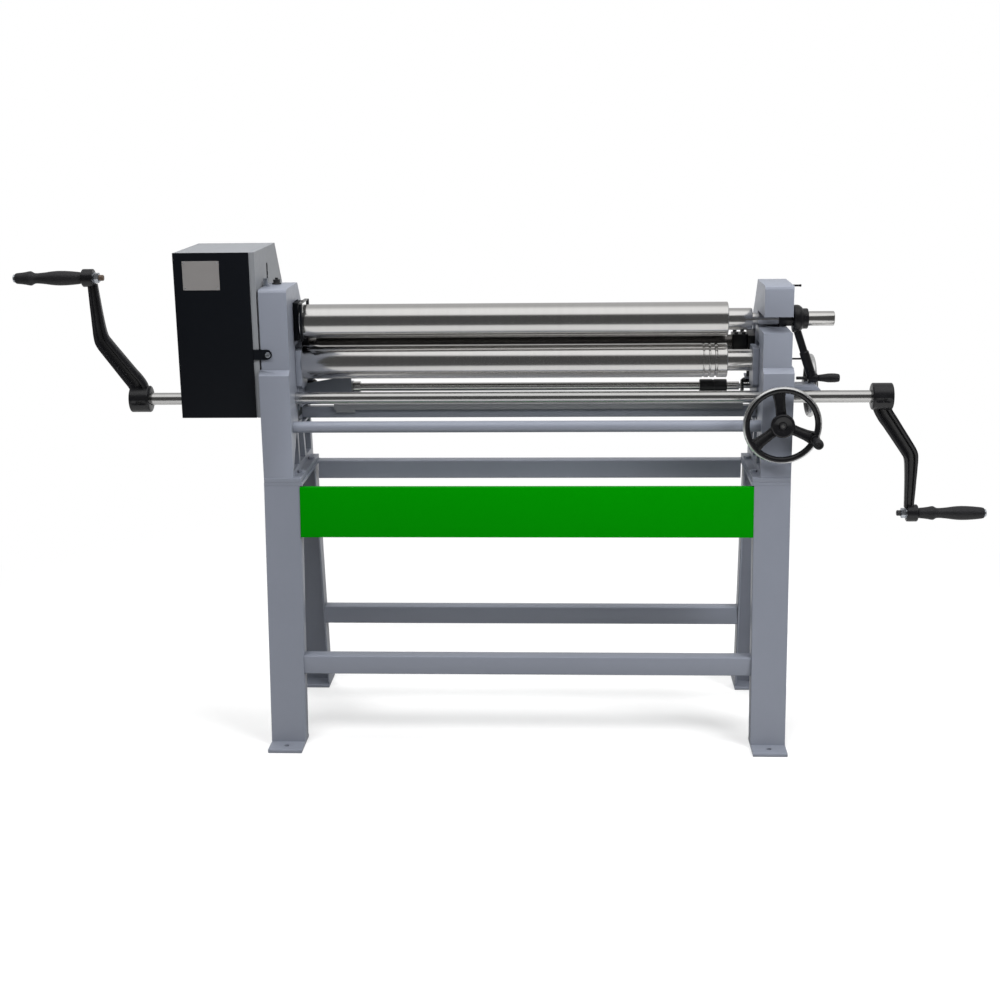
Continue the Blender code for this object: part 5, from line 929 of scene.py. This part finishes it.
class SLIPROLL_OT_release_lever(bpy.types.Operator):
    """The release lever on the upper roll with its handle"""

    bl_idname = "sliproll.release_lever"
    bl_label = "Release lever"

    def execute(self, context):
        foot = (0, ROLL_Z - LEVER_DROP)
        disc = [(744, 33.5), (745.4, 35.4), (747, 36), (756, 36), (760, 35), (764, 32.6), (767.5, 29.4),
                (769, 27.2), (770, 26.6), (780.5, 26.6), (782.4, 25.6), (783, 24), (783, 16.4), (744, 16.4)]
        head = round_piece("head", disc, "X", (0, ROLL_Z), hollow=True, angle=40)
        cam = [(707, 19.3), (744.5, 19.3), (744.5, 17.6), (707, 17.6)]
        cam = round_piece("cam", cam, "X", (-1, ROLL_Z), 48, hollow=True)
        thick, corners, start, lean, drop, length = 10, 24, 756, 42, 28, 122
        turns = [math.tau * step / corners for step in range(corners)]
        circle = [(thick * math.cos(turn), thick * math.sin(turn)) for turn in turns]
        shares = ((0, 1.0), (0.2, 1.0), (0.46, 1.0), (0.475, 1.0), (0.50, 1.24), (0.515, 1.25), (0.75, 1.25),
                  (1, 1.25))
        path = [(start + lean * share, 0, ROLL_Z - drop - length * share) for share, wide in shares]
        arm = sweep("arm", path, [wide for share, wide in shares], circle, angle=40)
        eye = round_piece("eye", fillet_stations([(790, 12), (814, 12)], 2), "X", foot, 48)
        settle(joined("release_lever", head, cam, arm, eye), "lever", CAST, "release_lever")
        bar = [(759, 3.4), (760, 4.2), (865, 4.2), (866, 3.6)]
        settle(round_piece("release_lever_bar", bar, "X", foot, 24), "lever", DARK)
        grip = [(815.3, 7.4), (816.5, 8.6), (824, 9.2), (834, 10.6), (842, 11.8), (850, 12), (860, 11.8),
                (868, 10.6), (870.6, 9.6), (871.8, 8.0), (871.6, 4.6), (815.3, 4.6)]
        grip = round_piece("release_lever_grip", grip, "X", foot, 40, hollow=True, angle=50)
        settle(grip, "lever", GRIP, "release_lever_grip")
        return {"FINISHED"}


class SLIPROLL_OT_casing(bpy.types.Operator):
    """The gear cover with its black front, blank plate and lug"""

    bl_idname = "sliproll.casing"
    bl_label = "Gear casing"

    def execute(self, context):
        edge = context.scene.slip_roll_sizes.sheet_round / MM
        refined("gear_cover", "stand", LIGHT, edge, 100.0)
        refined("gear_cover_front", "stand", SHEET, edge * 0.8, 100.0)
        refined("gear_back_plate", "stand", LIGHT)
        refined("cover_lug", "stand", SHEET)
        self.blank_plate(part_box("gear_cover_front")[0][1] / MM)
        self.lug_screw(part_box("cover_lug")[0][1] / MM)
        return {"FINISHED"}

    def blank_plate(self, face):
        """The bare plate on the cover's front and its four rivets."""
        plate = block_piece("blank_plate", (-824, face - 0.9, 1204), (-729, face - 0.05, 1278), 0.35, 1)
        settle(plate, "stand", PLATE)
        head = [(face - 0.8, 2.0), (face - 1.4, 1.8), (face - 1.8, 1.2), (face - 1.95, 0.5)]
        rivets = [round_piece("rivet", head, "Y", (x, z), 16, angle=60) for x in (-819, -734) for z in (1209, 1273)]
        settle(joined("plate_rivets", *rivets), "stand", ZINC)

    def lug_screw(self, face):
        """The socket screw in the lug."""
        centre = (-614, middle_of("cover_lug")[2])
        screw = [(face + 4.5, 7.0), (face + 0.6, 7.0), (face - 0.3, 6.4), (face - 0.5, 5.6)]
        socket = [(face - 3, 3.3), (face + 2, 3.3)]
        settle(socket_screw("cover_lug_screw", screw, socket, centre, angle=60), "stand", ZINC)


class SLIPROLL_OT_small_parts(bpy.types.Operator):
    """Finishes of the gears in the casing, the rear roll's bearing cap and the pin on the right frame"""

    bl_idname = "sliproll.small_parts"
    bl_label = "Small parts"

    def execute(self, context):
        kept_nodes = {
            "Machined iron": ("drive_pinion", "idler_gear", "upper_train_gear", "upper_pair_gear", "lower_pair_gear"),
            "Drawn bar steel": ("upper_gear_shaft", "idler_stud"),
            "Blackened steel": ("gear_support_plate",),
        }
        for material, nodes in kept_nodes.items():
            for name in nodes:
                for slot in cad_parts[name].material_slots:
                    slot.material = finish(material)
        self.rear_cap()
        pin = [(728.9, 2.6), (745, 2.6), (745.6, 3.2), (749, 3.2), (749.8, 2.4)]
        settle(round_piece("frame_pin", pin, "X", (-96, ROLL_Z + 97), 20), "stand", COATED)
        return {"FINISHED"}

    def rear_cap(self):
        """The bolted bearing cap on the rear roll's right journal."""
        top = REAR_Z + 25
        low, high = (597, REAR_Y - 26, REAR_Z - 24), (637.6, REAR_Y + 26, top)
        cap = block_piece("rear_roll_cap", low, high, 2.5, 3)
        cut_with(cap, round_piece("bore", [(590, 20.9), (645, 20.9)], "X", (REAR_Y, REAR_Z)))
        settle(cap, "rear_slide", CAST)
        head = [(top - 1, 5.6), (top + 4.6, 5.6), (top + 5.4, 4.8)]
        bolts = [round_piece("bolt", head, "Z", (x, REAR_Y + offset), 6, angle=20)
                 for x in (607, 627) for offset in (-20.5, 20.5)]
        settle(joined("rear_roll_cap_bolts", *bolts), "rear_slide", DARK)


class SLIPROLL_OT_stage(bpy.types.Operator):
    """Floor, studio lights, background and camera"""

    bl_idname = "sliproll.stage"
    bl_label = "Studio"

    def execute(self, context):
        self.make_floor(tuple(context.scene.slip_roll_colours.floor))
        self.make_world(context)
        self.make_lights()
        self.make_camera(context)
        context.scene.view_settings.view_transform = "Standard"
        return {"FINISHED"}

    def make_floor(self, colour):
        """A pale floor that keeps the object's shadow, white or dark bands for the steel to mirror, and a painted
        shade under the machine that only the steel's reflections show.
        """
        size, back, gap, facets, glow_strength = 60.0, 12, 0.0004, 8, 0.50
        clear_selection()
        bpy.ops.mesh.primitive_grid_add(x_subdivisions=facets, y_subdivisions=facets, size=size,
                                        location=(0, back, -gap))
        floor = bpy.context.object
        floor.name = "studio_floor"
        bake_place(floor)
        made = bpy.data.materials.new("Studio floor")
        made.use_nodes = True
        tree = made.node_tree
        shader = tree.nodes["Principled BSDF"]
        shader.inputs["Roughness"].default_value = 0.9
        shader.inputs["Specular IOR Level"].default_value = 0.1
        coords = object_coords(tree)
        tone = added(tree, times(tree, noise_node(tree, coords, 3.0, 2.0), 0.01), 0.995)
        tree.links.new(shade_colour(tree, colour, tone), shader.inputs["Base Color"])
        rays = tree.nodes.new("ShaderNodeLightPath").outputs
        seen = math_node(tree, "MAXIMUM", rays["Is Camera Ray"], rays["Is Transmission Ray"])
        glossy = rays["Is Glossy Ray"]
        glow = tree.nodes.new("ShaderNodeEmission")
        tree.links.new(times(tree, seen, glow_strength), glow.inputs["Strength"])
        near = tree.nodes.new("ShaderNodeAddShader")
        tree.links.new(shader.outputs[0], near.inputs[0])
        tree.links.new(glow.outputs[0], near.inputs[1])
        # Bands by the distance in metres from the machine's middle, and one by the distance behind it; the nearest
        # band is a painted shade under the machine that only the steel mirrors
        reach = vector_node(tree, "LENGTH", coords)["Value"]
        far = ramp(tree, reach, 1.2, 2.4)
        dim = ramp(tree, reach, 1.9, 3.2)
        # Painted shade: the floor under the machine turns dark where the steel mirrors it
        painted_shade_under = ramp(tree, reach, 0.25, 0.85, 0.65, 0.0)
        behind = ramp(tree, split_axis(tree, coords, "Y"), 0.4, 1.6, 0.09, 0.80, "LINEAR")
        white = tree.nodes.new("ShaderNodeEmission")
        tree.links.new(math_node(tree, "MAXIMUM", seen, times(tree, glossy, behind)), white.inputs["Strength"])
        mirrored_share = times(tree, added(tree, dim, painted_shade_under), glossy)
        share = math_node(tree, "ADD", times(tree, far, seen), mirrored_share, clamp=True)
        blend = tree.nodes.new("ShaderNodeMixShader")
        for socket, value in zip(blend.inputs, (share, near.outputs[0], white.outputs[0])):
            tree.links.new(value, socket)
        tree.links.new(blend.outputs[0], tree.nodes["Material Output"].inputs["Surface"])
        floor.data.materials.append(made)

    def make_world(self, context):
        """White where the camera looks, soft bands above and behind for the steel, and a dim ambient light."""
        behind_strength, ambient_strength = 0.50, 0.16
        world = bpy.data.worlds.new("Studio")
        context.scene.world = world
        world.use_nodes = True
        tree = world.node_tree
        background = tree.nodes["Background"]
        background.inputs["Color"].default_value = (1, 1, 1, 1)
        rays = tree.nodes.new("ShaderNodeLightPath").outputs
        glossy = rays["Is Glossy Ray"]
        # Bands by the direction that a ray leaves in: how far up and how far back
        direction = tree.nodes.new("ShaderNodeTexCoord").outputs["Generated"]
        above = ramp(tree, split_axis(tree, direction, "Z"), 0.62, 0.78, 0.08, 1.0)
        behind = ramp(tree, split_axis(tree, direction, "Y"), -0.10, 0.45)
        front = times(tree, math_node(tree, "SUBTRACT", 1.0, behind), above)
        mirror = times(tree, glossy, added(tree, front, times(tree, behind, behind_strength)))
        seen = math_node(tree, "MAXIMUM", rays["Is Camera Ray"], rays["Is Transmission Ray"])
        ambient = times(tree, math_node(tree, "SUBTRACT", 1.0, glossy), ambient_strength)
        strength = math_node(tree, "MAXIMUM", math_node(tree, "MAXIMUM", seen, mirror), ambient)
        tree.links.new(strength, background.inputs["Strength"])

    def make_lights(self):
        """Four soft lamps: name, place, width, height, watts and what each is aimed at."""
        lamps = (("key_light", (-1.2, -2.6, 4.3), 2.6, 1.4, 124.0, (0, 0, 0.9)),
                 ("fill_light", (2.9, -2.3, 3.1), 2.0, 2.0, 160.0, (-0.2, 0, 0.9)),
                 ("top_light", (0.0, 0.3, 3.8), 3.6, 1.6, 104.0, (0, 0, 0.9)),
                 ("back_light", (-2.6, 2.8, 2.8), 2.0, 1.6, 40.0, (0, 0, 0.9)))
        for name, place, wide, high, power, target in lamps:
            clear_selection()
            bpy.ops.object.light_add(type="AREA", location=place)
            lamp = bpy.context.object
            lamp.name = name
            lamp.data.shape = "RECTANGLE"
            lamp.data.size, lamp.data.size_y = wide, high
            lamp.data.energy = power
            lamp.visible_glossy = False
            aim = Vector(target) - Vector(place)
            lamp.rotation_euler = aim.to_track_quat("-Z", "Y").to_euler()

    def make_camera(self, context):
        """The camera at the place and heading that were solved from the photograph."""
        place = (0.178, -4.0249, 1.6547)
        yaw, pitch, roll = (math.radians(angle) for angle in (2.898, 14.444, 0.739))
        clear_selection()
        bpy.ops.object.camera_add()
        camera = bpy.context.object
        camera.name = "photo_camera"
        camera.data.lens = 55.26
        camera.data.sensor_width = 36
        camera.data.clip_end = 200
        forward = Vector((-math.sin(yaw) * math.cos(pitch), math.cos(yaw) * math.cos(pitch), -math.sin(pitch)))
        side = forward.cross(Vector((0, 0, 1))).normalized()
        down = forward.cross(side).normalized()
        x_axis = side * math.cos(roll) + down * math.sin(roll)
        y_axis = side * math.sin(roll) - down * math.cos(roll)
        turn = Matrix((x_axis, y_axis, -forward)).transposed().to_4x4()
        camera.matrix_world = Matrix.Translation(place) @ turn
        context.scene.camera = camera


class SLIPROLL_PT_panel(bpy.types.Panel):
    """Lists the pieces and their sizes and colours"""

    bl_idname = "SLIPROLL_PT_panel"
    bl_label = "Slip roll"
    bl_space_type = "VIEW_3D"
    bl_region_type = "UI"
    bl_category = "Slip roll"

    def draw(self, context):
        layout = self.layout
        for operator in OPERATORS:
            layout.operator(operator.bl_idname)
        for settings in (context.scene.slip_roll_sizes, context.scene.slip_roll_colours):
            for name in settings.__annotations__:
                layout.prop(settings, name)


OPERATORS = (SLIPROLL_OT_stand, SLIPROLL_OT_side_frames, SLIPROLL_OT_rolls, SLIPROLL_OT_shafts, SLIPROLL_OT_cranks,
             SLIPROLL_OT_handwheels, SLIPROLL_OT_release_lever, SLIPROLL_OT_casing, SLIPROLL_OT_small_parts,
             SLIPROLL_OT_stage)
CLASSES = (SlipRollSizes, SlipRollColours, *OPERATORS, SLIPROLL_PT_panel)


def register():
    """Register the classes and attach the settings to the scene."""
    for cls in CLASSES:
        bpy.utils.register_class(cls)
    bpy.types.Scene.slip_roll_sizes = PointerProperty(type=SlipRollSizes)
    bpy.types.Scene.slip_roll_colours = PointerProperty(type=SlipRollColours)


def unregister():
    """Take the settings and the classes away again."""
    del bpy.types.Scene.slip_roll_colours
    del bpy.types.Scene.slip_roll_sizes
    for cls in reversed(CLASSES):
        bpy.utils.unregister_class(cls)


def main():
    """Register the settings and dress the machine, piece by piece."""
    register()
    for operator in OPERATORS:
        group, name = operator.bl_idname.split(".")
        result = getattr(getattr(bpy.ops, group), name)()
        if result != {"FINISHED"}:
            raise RuntimeError(f"{operator.bl_label} did not finish")


if __name__ == "__main__":
    main()
